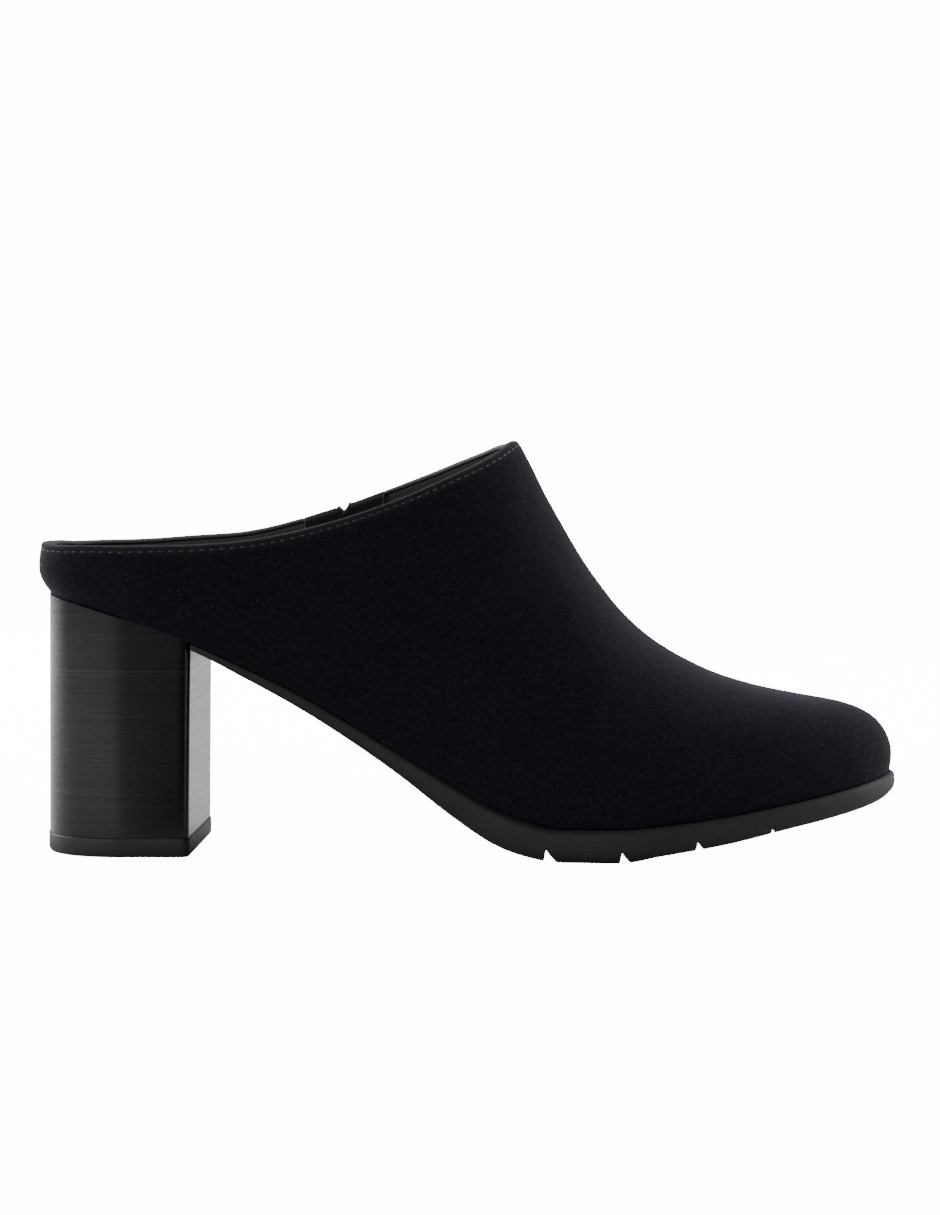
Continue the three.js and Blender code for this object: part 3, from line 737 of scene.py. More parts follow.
def slit_section():
    """The slit in the side view: a narrow bar that opens in a V at the collar."""
    half = SLIT_WIDTH / 2
    left = [
        (GORE_X - NOTCH_WIDTH, GORE_RIM + NOTCH_DEPTH),
        (GORE_X - half, GORE_RIM - NOTCH_DEPTH),
        (GORE_X - half, GORE_RIM - SLIT_DEPTH),
    ]
    return left + [(2 * GORE_X - x, z) for x, z in reversed(left)]


def make_upper(nubuck, lining):
    """The upper: outer fabric, a rim with a fold and a crevice, and the lining, as one closed shell.

    The outer and the inner face are grids of columns that run from the rim, or the spine, down to the seam.
    A point is the part's own surface at its place and t, moved in by a depth: the fold's rounding, the stitch
    groove and the creases outside, and the wall less its rounding inside.
    """
    count = len(END)
    place, t = on_column(rows_down(RIM_ROWS, OUTER_ROWS))
    place = spine_place(place, t)
    bare = outside(place, t)
    distance, rise = raised(bare)
    outer = inside(place, t, fabric_depth(bare, distance)) + rise
    place, t = on_column(rows_down(LINING_ROWS, INNER_ROWS))
    place = spine_place(place, t)
    gap, rise = raised(outside(place, t))
    crevice = CREVICE * np.exp(-(((gap - CREVICE_DROP) / CREVICE_WIDTH) ** 2))
    inner = inside(place, t, wall_at(place) - rounded(gap, LINING_ROUND) - crevice) + rise
    normal, out = rim_frames()
    across = np.linspace(0, 1, STRIP_ROWS)[1:-1, None]
    wall = wall_at(END[RIM])
    fold = fold_round(RIM_POINTS[:, 0])
    depth = fold + across * (wall - fold - LINING_ROUND)
    edge = RIM_POINTS + RISE
    strip = edge - normal * depth[..., None] + out * (RIM_CROWN * np.sin(math.pi * across))[..., None]
    points = seated(np.concatenate([outer.reshape(-1, 3), inner.reshape(-1, 3), strip.reshape(-1, 3)]))
    first_inner, first_strip = outer[..., 0].size, outer[..., 0].size + inner[..., 0].size
    faces = [grid_faces(OUTER_ROWS, count, True), grid_faces(INNER_ROWS, count, True)[:, ::-1] + first_inner]
    slots = [np.zeros(len(faces[0])), np.ones(len(faces[1]))]
    outer_foot = np.arange(count) + (OUTER_ROWS - 1) * count
    inner_foot = np.arange(count) + first_inner + (INNER_ROWS - 1) * count
    faces.append(np.stack([outer_foot, np.roll(outer_foot, -1), np.roll(inner_foot, -1), inner_foot], -1))
    slots.append(np.ones(count))
    strip_rows = first_strip + np.arange(strip[..., 0].size).reshape(-1, len(RIM))
    bands = np.concatenate([RIM[None], strip_rows, first_inner + RIM[None]])
    after = np.roll(bands, -1, 1)
    quads = np.stack([bands[:-1], after[:-1], after[1:], bands[1:]], -1)
    faces.append(quads.reshape(-1, 4))
    slots.append(np.zeros(quads[..., 0].size))
    upper = make_piece("upper_nubuck", points, np.concatenate(faces), [nubuck, lining],
                       np.concatenate(slots), node="upper", slot="upper")
    cut(upper, *bars([slit_section()], 0, BALL_WIDTH))
    mesh = upper.data
    mesh.set_sharp_from_angle(angle=math.radians(UPPER_SHARP))
    co = vertices(mesh)
    add_values(mesh, "collar", to_chain(co, edge)[0])
    add_values(mesh, "rim", to_chain(co, edge - normal * (wall[:, None] - LINING_INSET))[0])
    return outer, distance


def stitch_line(outer, distance):
    """The chain where the outer face is STITCH_DROP from the rim, and the face's normals along it."""
    line, side = [], []
    for column in range(distance.shape[1]):
        far = distance[:NEAR_ROWS, column]
        below = np.nonzero(far > STITCH_DROP)[0]
        if len(below) == 0 or below[0] == 0:
            continue
        row = below[0]
        share = (STITCH_DROP - far[row - 1]) / (far[row] - far[row - 1])
        here = outer[row - 1, column] + share * (outer[row, column] - outer[row - 1, column])
        line.append(here)
        up = outer[row - 1, column] - outer[row, column]
        around = outer[row, (column + 1) % distance.shape[1]] - outer[row, column - 1]
        side.append(unit(np.cross(around, up)))
    return np.array(line), np.array(side)


def make_stitches(outer, distance, thread):
    """The stitches below the fold: one capsule each, with a dark capsule at its end as painted shade of the
    needle hole.
    """
    line, side = stitch_line(outer, distance)
    chain = np.concatenate([line, line[:1]])
    steps = np.linalg.norm(np.diff(chain, axis=0), axis=1)
    arc = np.concatenate([[0], np.cumsum(steps)])
    turns = np.concatenate([[0], np.cumsum(steps / np.interp(line[:, 0], *STITCH_PITCH))])
    count = int(round(turns[-1]))
    at = np.interp((np.arange(count) + 0.5) / count * turns[-1], turns, arc)
    around = np.concatenate([side, side[:1]])

    def along_line(where, values):
        """Values of the chain at lengths along it."""
        return np.stack([np.interp(where % arc[-1], arc, values[:, axis]) for axis in range(3)], -1)

    def capsules(where, length, thick, spread, rise):
        """One flattened capsule at each place, its ends sunk into the fabric."""
        centre = along_line(where, chain)
        near = 0.3
        along = unit(along_line(where + near, chain) - along_line(where - near, chain))
        normal = unit(along_line(where, around))
        across = unit(np.cross(along, normal))
        u = np.linspace(-1, 1, STITCH_ALONG)
        v = np.arange(STITCH_AROUND) / STITCH_AROUND * TAU
        ends = np.sqrt(np.maximum(0, 1 - abs(u) ** STITCH_BLUNT))[:, None]
        wide = ends * np.cos(v) * spread
        high = ends * np.sin(v) * thick / 2 + rise - STITCH_SINK * (abs(u) ** 3)[:, None]
        return (centre[:, None, None] + along[:, None, None] * (u * length / 2)[:, None, None]
                + across[:, None, None] * wide[..., None] + normal[:, None, None] * high[..., None])

    holes = at + (STITCH_LENGTH + HOLE_LENGTH) / 2 - HOLE_OVERLAP
    spread = STITCH_THICK * STITCH_SPREAD
    shape = np.concatenate([capsules(at, STITCH_LENGTH, STITCH_THICK, spread, STITCH_RISE),
                            capsules(holes, HOLE_LENGTH, HOLE_THICK, HOLE_SPREAD, 0.0)])
    one = grid_faces(STITCH_ALONG, STITCH_AROUND, True)
    size = STITCH_ALONG * STITCH_AROUND
    faces = (one[None] + (np.arange(2 * count) * size)[:, None, None]).reshape(-1, 4)
    hole_shade = np.repeat((np.arange(2 * count) >= count).astype(float), size)
    make_piece("collar_stitches", shape, faces, [thread], attributes={"hole_shade": hole_shade}, slot="upper",
               smooth=None)


def cross(a, b):
    """Cross product of plane vectors."""
    return a[:, 0] * b[:, 1] - a[:, 1] * b[:, 0]


# Where on the inner side the gore is looked for: places, ts, the steps of each and a depth. Then the
# rounds of Newton's method, the most that one may change the place and t by, and the largest t
SEARCH_PLACES, SEARCH_TS, SEARCH_STEPS, SEARCH_DEPTH = (-0.62, -0.08), (0.05, 0.98), 60, 3.0
NEWTON_ROUNDS, MOST_PLACE, MOST_T, LAST_T = 8, 0.05, 0.1, 0.999


def locate(x, z, depth):
    """Place and t on the medial side of the point at a depth that lies at x and z, by Newton's method."""
    step = 1e-4
    places, ts = np.linspace(*SEARCH_PLACES, SEARCH_STEPS), np.linspace(*SEARCH_TS, SEARCH_STEPS)
    places, ts = np.meshgrid(places, ts, indexing="ij")
    known = inside(places.ravel(), ts.ravel(), np.full(places.size, SEARCH_DEPTH))[:, [0, 2]]
    target = np.stack([x.ravel(), z.ravel()], -1)
    nearest = np.argmin(((target[:, None] - known[None]) ** 2).sum(-1), 1)
    place, t = places.ravel()[nearest], ts.ravel()[nearest]
    deep = np.broadcast_to(depth, x.shape).ravel()
    for _ in range(NEWTON_ROUNDS):
        here = inside(place, t, deep)[:, [0, 2]] - target
        by_place = (inside(place + step, t, deep)[:, [0, 2]] - target - here) / step
        by_t = (inside(place, t + step, deep)[:, [0, 2]] - target - here) / step
        whole = cross(by_place, by_t)
        place = place - np.clip(cross(here, by_t) / whole, -MOST_PLACE, MOST_PLACE)
        t = np.clip(t - np.clip(cross(by_place, here) / whole, -MOST_T, MOST_T), 0, LAST_T)
    return place.reshape(x.shape), t.reshape(x.shape)


def slab(front, back):
    """Points and faces of two grids of the same size, joined round their borders."""
    rows, columns = front.shape[:2]
    size = rows * columns
    index = np.arange(size).reshape(rows, columns)
    loop = np.concatenate([index[0, :-1], index[:-1, -1], index[-1, :0:-1], index[:0:-1, 0]])
    after = np.roll(loop, -1)
    edge = np.stack([loop, loop + size, after + size, after], -1)
    faces = np.concatenate([grid_faces(rows, columns), grid_faces(rows, columns)[:, ::-1] + size, edge])
    return np.concatenate([front.reshape(-1, 3), back.reshape(-1, 3)]), faces


GORE_RIB = 1.15  # pitch of the elastic's ribs
GORE_RIB_DEPTH = 0.06
GORE_RISE = 0.42  # top of the elastic above the collar's line
GORE_NOTCH = (1.5, 1.5)  # half the width of its own notch, and its depth
GORE_EAR = (0.45, 0.45)  # height of the ears beside the notch, and half their width
GORE_ROUND = 0.5
GORE_COLUMNS, GORE_ROWS = 190, 44


def make_gore(elastic):
    """The gore: a ribbed elastic strip behind the slit. Its ribs are waves of depth across its width.

    It narrows over its lower half. Its top has a notch with a small bell-shaped ear on each side.
    """
    across = np.linspace(-1, 1, GORE_COLUMNS)
    down = np.linspace(0, 1, GORE_ROWS)[:, None]
    narrow = np.clip((down - 0.5) * 2, 0, 1) * GORE_SIDE
    half = GORE_WIDTH / 2 - narrow
    x = GORE_X + across * half
    top = collar_height(x, np.full_like(x, -1.0)) + GORE_RISE
    off = abs(x - GORE_X)
    ears = GORE_EAR[0] * np.exp(-(((off - GORE_NOTCH[0]) / GORE_EAR[1]) ** 2))
    top = top + ears - GORE_NOTCH[1] * np.clip(1 - off / GORE_NOTCH[0], 0, 1)
    z = top + (GORE_RIM - GORE_DEPTH - top) * down
    place, t = locate(x, z, WALL + CLEARANCE)
    rib = GORE_RIB_DEPTH * np.cos(TAU * across * GORE_WIDTH / 2 / GORE_RIB)
    wall = wall_at(place) + CLEARANCE
    round_top = rounded(down * GORE_DEPTH, GORE_ROUND)
    front = inside(place, t, wall + round_top)
    back = inside(place, t, wall + GORE_THICKNESS + rib - round_top - GORE_RIB_DEPTH)
    points, faces = slab(front, back)
    values = {"side": (1 - abs(across)) * half, "drop": top - z, "ear": ears}
    values = {label: np.tile(np.broadcast_to(value, x.shape).ravel(), 2) for label, value in values.items()}
    make_piece("gore_elastic", points, faces, [elastic], attributes=values, node="gore", slot="gore")


def insole_edge(place, height):
    """The insole's edge on each rib: the inner face, at a height above the seam."""
    depth = wall_at(place) + CLEARANCE
    def below(t):
        point = inside(place, t, depth)
        return point[..., 2] < seam(point[..., 0]) + height
    t = np.zeros(place.shape) if height == 0 else last_where(below, place.shape)
    return inside(place, t, depth)[..., :2]


SOCK_ROLL, SOCK_ROLL_WIDTH = 0.5, 5  # height and width of the sock lining's soft edge
SOCK_ROUND = 0.5
INSOLE_TOE = 0.9985  # the last place, where the tip is closed by a short straight edge


def make_insole(sock):
    """The insole: a slab across the inner outline. Its top dips a little between soft raised edges."""
    back, sides, toe = np.linspace(0, 0.06, 14), np.linspace(0.06, 0.9, 110), np.linspace(0.9, INSOLE_TOE, 30)
    places = np.concatenate([back[:-1], sides[:-1], toe])
    share = (1 - np.cos(np.linspace(0, math.pi, 31))) / 2
    layers = []
    for height in (INSOLE_THICKNESS, 0.0):
        lateral, medial = insole_edge(places, height), insole_edge(-places, height)
        plan = lateral[:, None] + (medial - lateral)[:, None] * share[:, None]
        z = seam(plan[..., 0]) + seat_lift(plan[..., 0]) + height
        if height:
            width = np.linalg.norm(medial - lateral, axis=-1)[:, None]
            from_edge = width * np.minimum(share, 1 - share)
            z -= SOCK_ROLL * (1 - np.exp(-((from_edge / SOCK_ROLL_WIDTH) ** 2)))
            z -= rounded(from_edge, SOCK_ROUND)
        layers.append(np.concatenate([plan, z[..., None]], -1))
    points, faces = slab(*layers)
    make_piece("insole_sock", points, faces, [sock], node="insole", slot="insole")


def capped(loops):
    """Points and faces of loops joined into a solid.

    Point i of a loop of n lies opposite point n - i, and strips between such pairs close the ends.
    """
    loops = np.asarray(loops)
    rows, count = loops.shape[:2]
    i = np.arange(1, (count - 1) // 2)
    strips = np.stack([i, i + 1, count - i - 1, count - i], -1)
    faces = [list(face) for face in grid_faces(rows, count, True)]
    for base, turned in ((0, True), ((rows - 1) * count, False)):
        for face in strips + base:
            faces.append(list(face[::-1]) if turned else list(face))
        faces.append([base, base + 1, base + count - 1])
        if count % 2 == 0:
            middle = count // 2
            faces.append([base + middle - 1, base + middle, base + middle + 1])
    return loops.reshape(-1, 3), faces


# How far the sole's edge is rounded in, in shares of the thickness below the seam and of EDGE_ROUND
SOLE_EDGE = table("down inset", [
    (0.0, 0.5), (0.1, 0.18), (0.22, 0.04), (0.4, 0.0), (0.7, 0.06), (0.87, 0.32), (1.0, 0.8),
])
SOLE_DOWN = (  # shares of the thickness at which its loops lie
    0, 0.015, 0.035, 0.06, 0.09, 0.12, 0.17, 0.24, 0.32, 0.4,
    0.5, 0.6, 0.68, 0.75, 0.81, 0.87, 0.92, 0.96, 1,
)
SOLE_SHARP = 35
GROOVES = (1.0, 0.9, 0.68, 0.36)  # depths of the grooves towards the toe, as shares of GROOVE_DEPTH


def breast(up):
    """X of the heel's front face at a share of its height."""
    return to_x(0) + HEEL_SETBACK + HEEL_LENGTH + BREAST_RAKE * up


def make_outsole(rubber):
    """The outsole: loops along the seam's outline, moved out by the lip and in by the edge's rounding.

    Each loop lies at a share of the thickness below the seam. V bars take the grooves out of the tread.
    """
    rear = breast(1) + CLEARANCE
    start = last_where(lambda place: foot(place)[..., 0] < rear, (1,))[0]
    toe = 0.9
    places = np.concatenate([np.linspace(start, toe, 120)[:-1], np.linspace(toe, 1, 40)])
    loops = []
    for down in SOLE_DOWN:
        inset = EDGE_ROUND * read(SOLE_EDGE, "down", "inset", np.array(down))
        sides = []
        for sign in (1, -1):
            at = sign * places
            thick = read(PROFILE, "along", "thick", ring("along", at))
            lip = SOLE_LIP * ring("lip", at) - TUCK * ring("tuck", at)
            plan = outline(at, lip - inset * np.minimum(1, thick))
            plan[..., 0] = np.maximum(rear, plan[..., 0])
            plan[0, 0] = rear
            sides.append(plan)
        plan = np.concatenate([[[rear, 0]], sides[0], sides[1][-2::-1]])
        top, bottom = seam(plan[:, 0]) - CLEARANCE, seam(plan[:, 0]) - thickness(plan[:, 0])
        loops.append(np.concatenate([plan, (top + (bottom - top) * down)[:, None]], 1))
    sole = make_piece("outsole_rubber", *capped(loops), [rubber], node="outsole", slot="outsole")
    sections = []
    for i, deep in enumerate(GROOVES):
        x = to_x(FIRST_GROOVE) + i * GROOVE_PITCH
        depth = GROOVE_DEPTH * deep
        floor = float(seam(np.array(x)) - thickness(np.array(x)))
        below = floor - GROOVE_DEPTH
        steep = GROOVE_WIDTH * GROOVE_HEEL_WALL
        ramp = (GROOVE_WIDTH - steep) * (depth + GROOVE_DEPTH) / GROOVE_DEPTH
        sections.append([(x - steep, below), (x + ramp, below), (x, floor + depth)])
    cut(sole, *bars(sections, -BALL_WIDTH, BALL_WIDTH))
    mesh = sole.data
    mesh.set_sharp_from_angle(angle=math.radians(SOLE_SHARP))
    co = vertices(mesh)
    add_values(mesh, "down", (seam(co[:, 0]) - CLEARANCE - co[:, 2]) / (thickness(co[:, 0]) - CLEARANCE))


def heel_loop(up, out, arcs=64, corners=10):
    """Plan of the heel at a share of its height, moved out, from its back middle round the lateral side.

    Each half is a quarter superellipse, a straight side, a rounded corner and half of the front face.
    """
    back = to_x(0) + HEEL_SETBACK + BACK_RAKE * up
    front = breast(up) + out
    half = HEEL_WIDTH / 2 + out
    depth = HEEL_BACK_DEPTH + out
    angle = np.linspace(0, math.pi / 2, arcs + 1)
    curve = np.stack([back - out + depth - depth * np.cos(angle) ** (2 / HEEL_BACK_SQUARE),
                      half * np.sin(angle) ** (2 / HEEL_BACK_SQUARE)], -1)
    side = np.linspace(0, 1, 14)[1:-1, None]
    turn = np.linspace(0, math.pi / 2, corners + 1)
    corner = (front, half) - BREAST_CORNER * (1 - np.stack([np.sin(turn), np.cos(turn)], -1))
    face = corner[-1] * np.linspace(1, 0, 16)[1:-1, None] * (0, 1) + (front, 0)
    way = np.concatenate([curve, curve[-1] + (corner[0] - curve[-1]) * side, corner, face])
    lateral, medial = way[1:] * (1, -1), way[:0:-1]
    return np.concatenate([way[:1], lateral, [[front, 0]], medial])


HEEL_SPREAD = 0.35  # how much the wrap stands out at the foot of the heel
HEEL_EASE = 0.18  # radius of its lower edge
HEEL_HIGH = 60  # its height, roughly, for that edge
HEEL_GAP = 0.04  # gap under the seat
HEEL_UPS = np.concatenate([[0, 0.0015, 0.003, 0.006], np.linspace(0.02, 1, 68)])


def make_heel(stack):
    """The heel: loops from the lift to the seat, whose top follows the seam. Its lower edge is eased."""
    loops = []
    for up in HEEL_UPS:
        ease = rounded(up * HEEL_HIGH, HEEL_EASE) - HEEL_SPREAD * (1 - up)
        plan = heel_loop(up, -ease)
        low, high = LIFT_HEIGHT, seam(plan[:, 0]) + seat_lift(plan[:, 0]) - HEEL_GAP
        loops.append(np.concatenate([plan, (low + (high - low) * up)[:, None]], 1))
    make_piece("heel_stack", *capped(loops), [stack], node="heel", slot="heel")


LIFT_EDGE = (  # share of the height, and how far the edge is rounded in
    (0, 0.5), (0.05, 0.26), (0.11, 0.1), (0.18, 0.0), (0.5, 0.0),
    (0.93, 0.0), (0.965, 0.05), (0.985, 0.14), (1, 0.3),
)


def make_lift(rubber):
    """The top lift: a slab with eased edges, a little wider than the heel."""
    loops = []
    for up, inset in LIFT_EDGE:
        plan = heel_loop(0, LIFT_LIP + HEEL_SPREAD - inset)
        loops.append(np.concatenate([plan, np.full((len(plan), 1), LIFT_HEIGHT * up)], 1))
    make_piece("top_lift_rubber", *capped(loops), [rubber], node="top_lift", slot="top_lift")


# Materials

def plug(tree, socket, value):
    """Puts a link, a number or a colour into a socket."""
    if isinstance(value, bpy.types.NodeSocket):
        tree.links.new(value, socket)
    elif socket.type == "RGBA":
        socket.default_value = (*value, 1)
    else:
        socket.default_value = value


def node(tree, kind, inputs=None, **settings):
    """A shader node with its settings, and its inputs as links or values."""
    made = tree.nodes.new("ShaderNode" + kind)
    for key, value in settings.items():
        setattr(made, key, value)
    for socket, value in (inputs or {}).items():
        plug(tree, made.inputs[socket], value)
    return made


def math_node(tree, operation, *values, clamp=False):
    """The result of a maths node on sockets or numbers."""
    return node(tree, "Math", dict(enumerate(values)), operation=operation, use_clamp=clamp).outputs[0]


def times(tree, a, b):
    """The product of two values."""
    return math_node(tree, "MULTIPLY", a, b)


def plus(tree, a, b):
    """The sum of two values."""
    return math_node(tree, "ADD", a, b)


def minus(tree, a, b, clamp=False):
    """One value less another."""
    return math_node(tree, "SUBTRACT", a, b, clamp=clamp)


def ramp(tree, value, low, high, to_low=0.0, to_high=1.0):
    """A value eased from one range into another."""
    inputs = {"Value": value, "From Min": low, "From Max": high, "To Min": to_low, "To Max": to_high}
    return node(tree, "MapRange", inputs, interpolation_type="SMOOTHSTEP").outputs["Result"]


def blend(tree, share, first, second):
    """A colour between two colours."""
    return node(tree, "Mix", {0: share, 6: first, 7: second}, data_type="RGBA").outputs[2]


def noise(tree, vector, scale, detail=2.0, rough=0.5):
    """Cloudy noise over a vector, from 0 to 1."""
    inputs = {"Vector": vector, "Scale": scale, "Detail": detail, "Roughness": rough}
    return node(tree, "TexNoise", inputs).outputs["Fac"]


def stretched(tree, vector, factors):
    """A vector times a factor for each axis."""
    return node(tree, "VectorMath", {0: vector, 1: factors}, operation="MULTIPLY").outputs[0]


def make_group(name, inputs, outputs, build):
    """A node group. build takes the tree and its inputs, and gives a value for each output."""
    tree = bpy.data.node_groups.new(name, "ShaderNodeTree")
    for label, kind, value in inputs:
        socket = tree.interface.new_socket(label, in_out="INPUT", socket_type="NodeSocket" + kind)
        if value is not None:
            socket.default_value = value
    for label in outputs:
        tree.interface.new_socket(label, in_out="OUTPUT", socket_type="NodeSocketFloat")
    given = tree.nodes.new("NodeGroupInput")
    out = tree.nodes.new("NodeGroupOutput")
    made = build(tree, {socket.name: socket for socket in given.outputs if socket.name})
    for label, value in zip(outputs, made):
        tree.links.new(value, out.inputs[label])
    return tree


def use_group(tree, group, **inputs):
    """A group in a material, with its inputs by name, and its outputs."""
    made = node(tree, "Group")
    made.node_tree = group
    for label, value in inputs.items():
        plug(tree, made.inputs[label], value)
    return made.outputs


def build_nap(tree, given):
    """Short nap: fine fibres, soft clumps, slow mottling, and a few specks that catch the light."""
    at, size = given["Vector"], given["Size"]
    per_metre = math_node(tree, "DIVIDE", 1000.0, size)
    fibre = noise(tree, at, per_metre, 3.0, 0.65)
    clump = noise(tree, at, times(tree, per_metre, 0.28), 2.0)
    slow = noise(tree, at, 42.0, 3.0, 0.6)
    cells = node(tree, "TexVoronoi", {"Vector": at, "Scale": 620.0})
    near = math_node(tree, "LESS_THAN", cells.outputs["Distance"], 0.13)
    pick = node(tree, "SeparateColor", {0: cells.outputs["Color"]}).outputs[0]
    few = math_node(tree, "GREATER_THAN", pick, minus(tree, 1.0, given["Specks"]))
    height = plus(tree, times(tree, fibre, 0.7), times(tree, clump, 0.5))
    close = plus(tree, ramp(tree, fibre, 0.4, 0.62, 0.0, 0.7), ramp(tree, clump, 0.32, 0.68, 0.0, 0.18))
    tone = plus(tree, ramp(tree, slow, 0.3, 0.7, 0.0, 0.12), close)
    return height, tone, times(tree, near, few)


def build_lines(tree, given):
    """Thin layers: streaks that run level round the piece, and now and then one that stands out."""
    at = given["Vector"]
    fine = noise(tree, stretched(tree, at, (16, 16, 3900)), 1.0, 3.0, 0.7)
    broad = noise(tree, stretched(tree, at, (4, 4, 420)), 1.0, 2.0)
    level = noise(tree, stretched(tree, at, (3, 3, 1250)), 1.0, 1.0)
    bright = ramp(tree, level, 0.64, 0.7)
    seam_line = ramp(tree, level, 0.37, 0.31)
    patch = ramp(tree, noise(tree, at, 45.0, 2.0), 0.34, 0.56)
    height = plus(tree, fine, times(tree, seam_line, -0.6))
    tone = plus(tree, times(tree, fine, 0.75), times(tree, broad, 0.25))
    return height, tone, times(tree, bright, patch), seam_line


def build_rubber(tree, given):
    """Moulded rubber: a close spark texture over a soft unevenness."""
    at = given["Vector"]
    spark = noise(tree, at, 2600.0, 2.0, 0.7)
    pits = node(tree, "TexVoronoi", {"Vector": at, "Scale": 1500.0}).outputs["Distance"]
    soft = noise(tree, at, 160.0, 2.0)
    height = plus(tree, spark, times(tree, pits, 0.6))
    return height, plus(tree, times(tree, soft, 0.5), times(tree, spark, 0.5))


def build_knit(tree, given):
    """A close knit: two crossing sets of fine waves, blurred by noise."""
    at, pitch = given["Vector"], given["Pitch"]
    turns = math_node(tree, "DIVIDE", 1000 * TAU, pitch)
    parts = node(tree, "SeparateXYZ", {0: at})
    a = math_node(tree, "SINE", times(tree, parts.outputs[0], turns))
    b = math_node(tree, "SINE", times(tree, parts.outputs[2], turns))
    fuzz = noise(tree, at, 1800.0, 2.0)
    cross = times(tree, a, b)
    return plus(tree, times(tree, cross, 0.4), fuzz), noise(tree, at, 70.0, 2.0)


def build_dust(tree, given):
    """Fine dust and lint, in loose drifts."""
    at = given["Vector"]
    drift = ramp(tree, noise(tree, at, 55.0, 3.0), 0.45, 0.75)
    grains = ramp(tree, noise(tree, at, 3400.0, 1.0), 0.6, 0.74)
    return [times(tree, times(tree, drift, grains), given["Amount"])]


def build_edge(tree, given):
    """1 at an edge, falling to 0 at a reach from it, broken up a little: the mask of a painted highlight."""
    broken = noise(tree, given["Vector"], 900.0, 2.0)
    reach = times(tree, given["Reach"], plus(tree, broken, 0.5))
    return [minus(tree, 1.0, math_node(tree, "DIVIDE", given["Distance"], reach), clamp=True)]


def number(label, value):
    """A number that goes into a group, with its usual value."""
    return label, "Float", value


AT = ("Vector", "Vector", None)
NAP = make_group("nap", [AT, number("Size", 0.4), number("Specks", 0.05)],
                 ["Height", "Tone", "Speck"], build_nap)
LINES = make_group("stack_lines", [AT], ["Height", "Tone", "Bright", "Seam"], build_lines)
MOULDED = make_group("moulded_rubber", [AT], ["Height", "Tone"], build_rubber)
KNIT = make_group("close_knit", [AT, number("Pitch", 0.5)], ["Height", "Tone"], build_knit)
DUST = make_group("dust", [AT, number("Amount", 0.2)], ["Mask"], build_dust)
HIGHLIGHT_EDGE = make_group("painted_highlight_edge", [AT, number("Distance", 1.0), number("Reach", 1.0)], ["Mask"], build_edge)


def material(name, **constants):
    """A new material: its tree, its shader with constants set, and object coordinates."""
    made = bpy.data.materials.new(name)
    made.use_nodes = True
    tree = made.node_tree
    shader = tree.nodes["Principled BSDF"]
    for socket, value in constants.items():
        shader.inputs[socket.replace("_", " ")].default_value = value
    return made, tree, shader, node(tree, "TexCoord").outputs["Object"]


def finish(tree, shader, colour, roughness, height=None, depth=0.03):
    """Colour, roughness and a bump of a depth in millimetres go into the shader."""
    plug(tree, shader.inputs["Base Color"], colour)
    plug(tree, shader.inputs["Roughness"], roughness)
    if height is not None:
        bump = node(tree, "Bump", {"Height": height, "Strength": 1.0, "Distance": depth * MM})
        tree.links.new(bump.outputs["Normal"], shader.inputs["Normal"])


def attribute(tree, label):
    """A value that a piece carries at each of its points."""
    return node(tree, "Attribute", attribute_name=label).outputs["Fac"]


# edge is painted sheen on the strip below the collar's edge, fold a painted highlight on the fold itself
NUBUCK = {
    "dark": (0.0006, 0.0007, 0.0015), "light": (0.0085, 0.0092, 0.0145), "dust": (0.016, 0.016, 0.019),
    "speck": (0.026, 0.026, 0.029), "edge": (0.019, 0.0195, 0.022), "fold": (0.05, 0.052, 0.058),
}


def make_nubuck():
    """Napped black fabric, with painted sheen towards the collar's edge and a painted highlight on its fold.
    """
    made, tree, shader, at = material("nubuck", Specular_IOR_Level=0.1, Sheen_Weight=0.05,
                                      Sheen_Roughness=0.4, Sheen_Tint=(0.84, 0.84, 1.0, 1))
    nap = use_group(tree, NAP, Vector=at, Size=0.42, Specks=0.13)
    rim = attribute(tree, "collar")
    fold = use_group(tree, HIGHLIGHT_EDGE, Vector=at, Distance=rim, Reach=0.62)["Mask"]
    dust = use_group(tree, DUST, Vector=at, Amount=0.35)["Mask"]
    colour = blend(tree, nap["Tone"], NUBUCK["dark"], NUBUCK["light"])
    colour = blend(tree, dust, colour, NUBUCK["dust"])
    colour = blend(tree, nap["Speck"], colour, NUBUCK["speck"])
    # Painted sheen: the strip between the fold and the stitches is made paler, as where the fabric reflects
    # light
    colour = blend(tree, ramp(tree, rim, 0.8, 3.8, 0.5, 0.0), colour, NUBUCK["edge"])
    # Painted highlight: the fold's round-over is given a pale colour, as where it catches the light
    colour = blend(tree, fold, colour, NUBUCK["fold"])
    finish(tree, shader, colour, ramp(tree, nap["Height"], 0.3, 0.9, 0.98, 0.86), nap["Height"], 0.07)
    return made


# crevice is painted shade under the fold; the fold colours are a painted highlight on its inner face
LINING = {
    "dark": (0.023, 0.0235, 0.026), "light": (0.037, 0.038, 0.042), "crevice": (0.002, 0.002, 0.0025),
    "fold_highlight_back": (0.04, 0.041, 0.047), "fold_highlight_front": (0.11, 0.11, 0.12),
}
FOLD_HIGHLIGHT_FROM, FOLD_HIGHLIGHT_TO = -0.025, 0.0  # x in metres over which the painted highlight on the fold's inner face grows


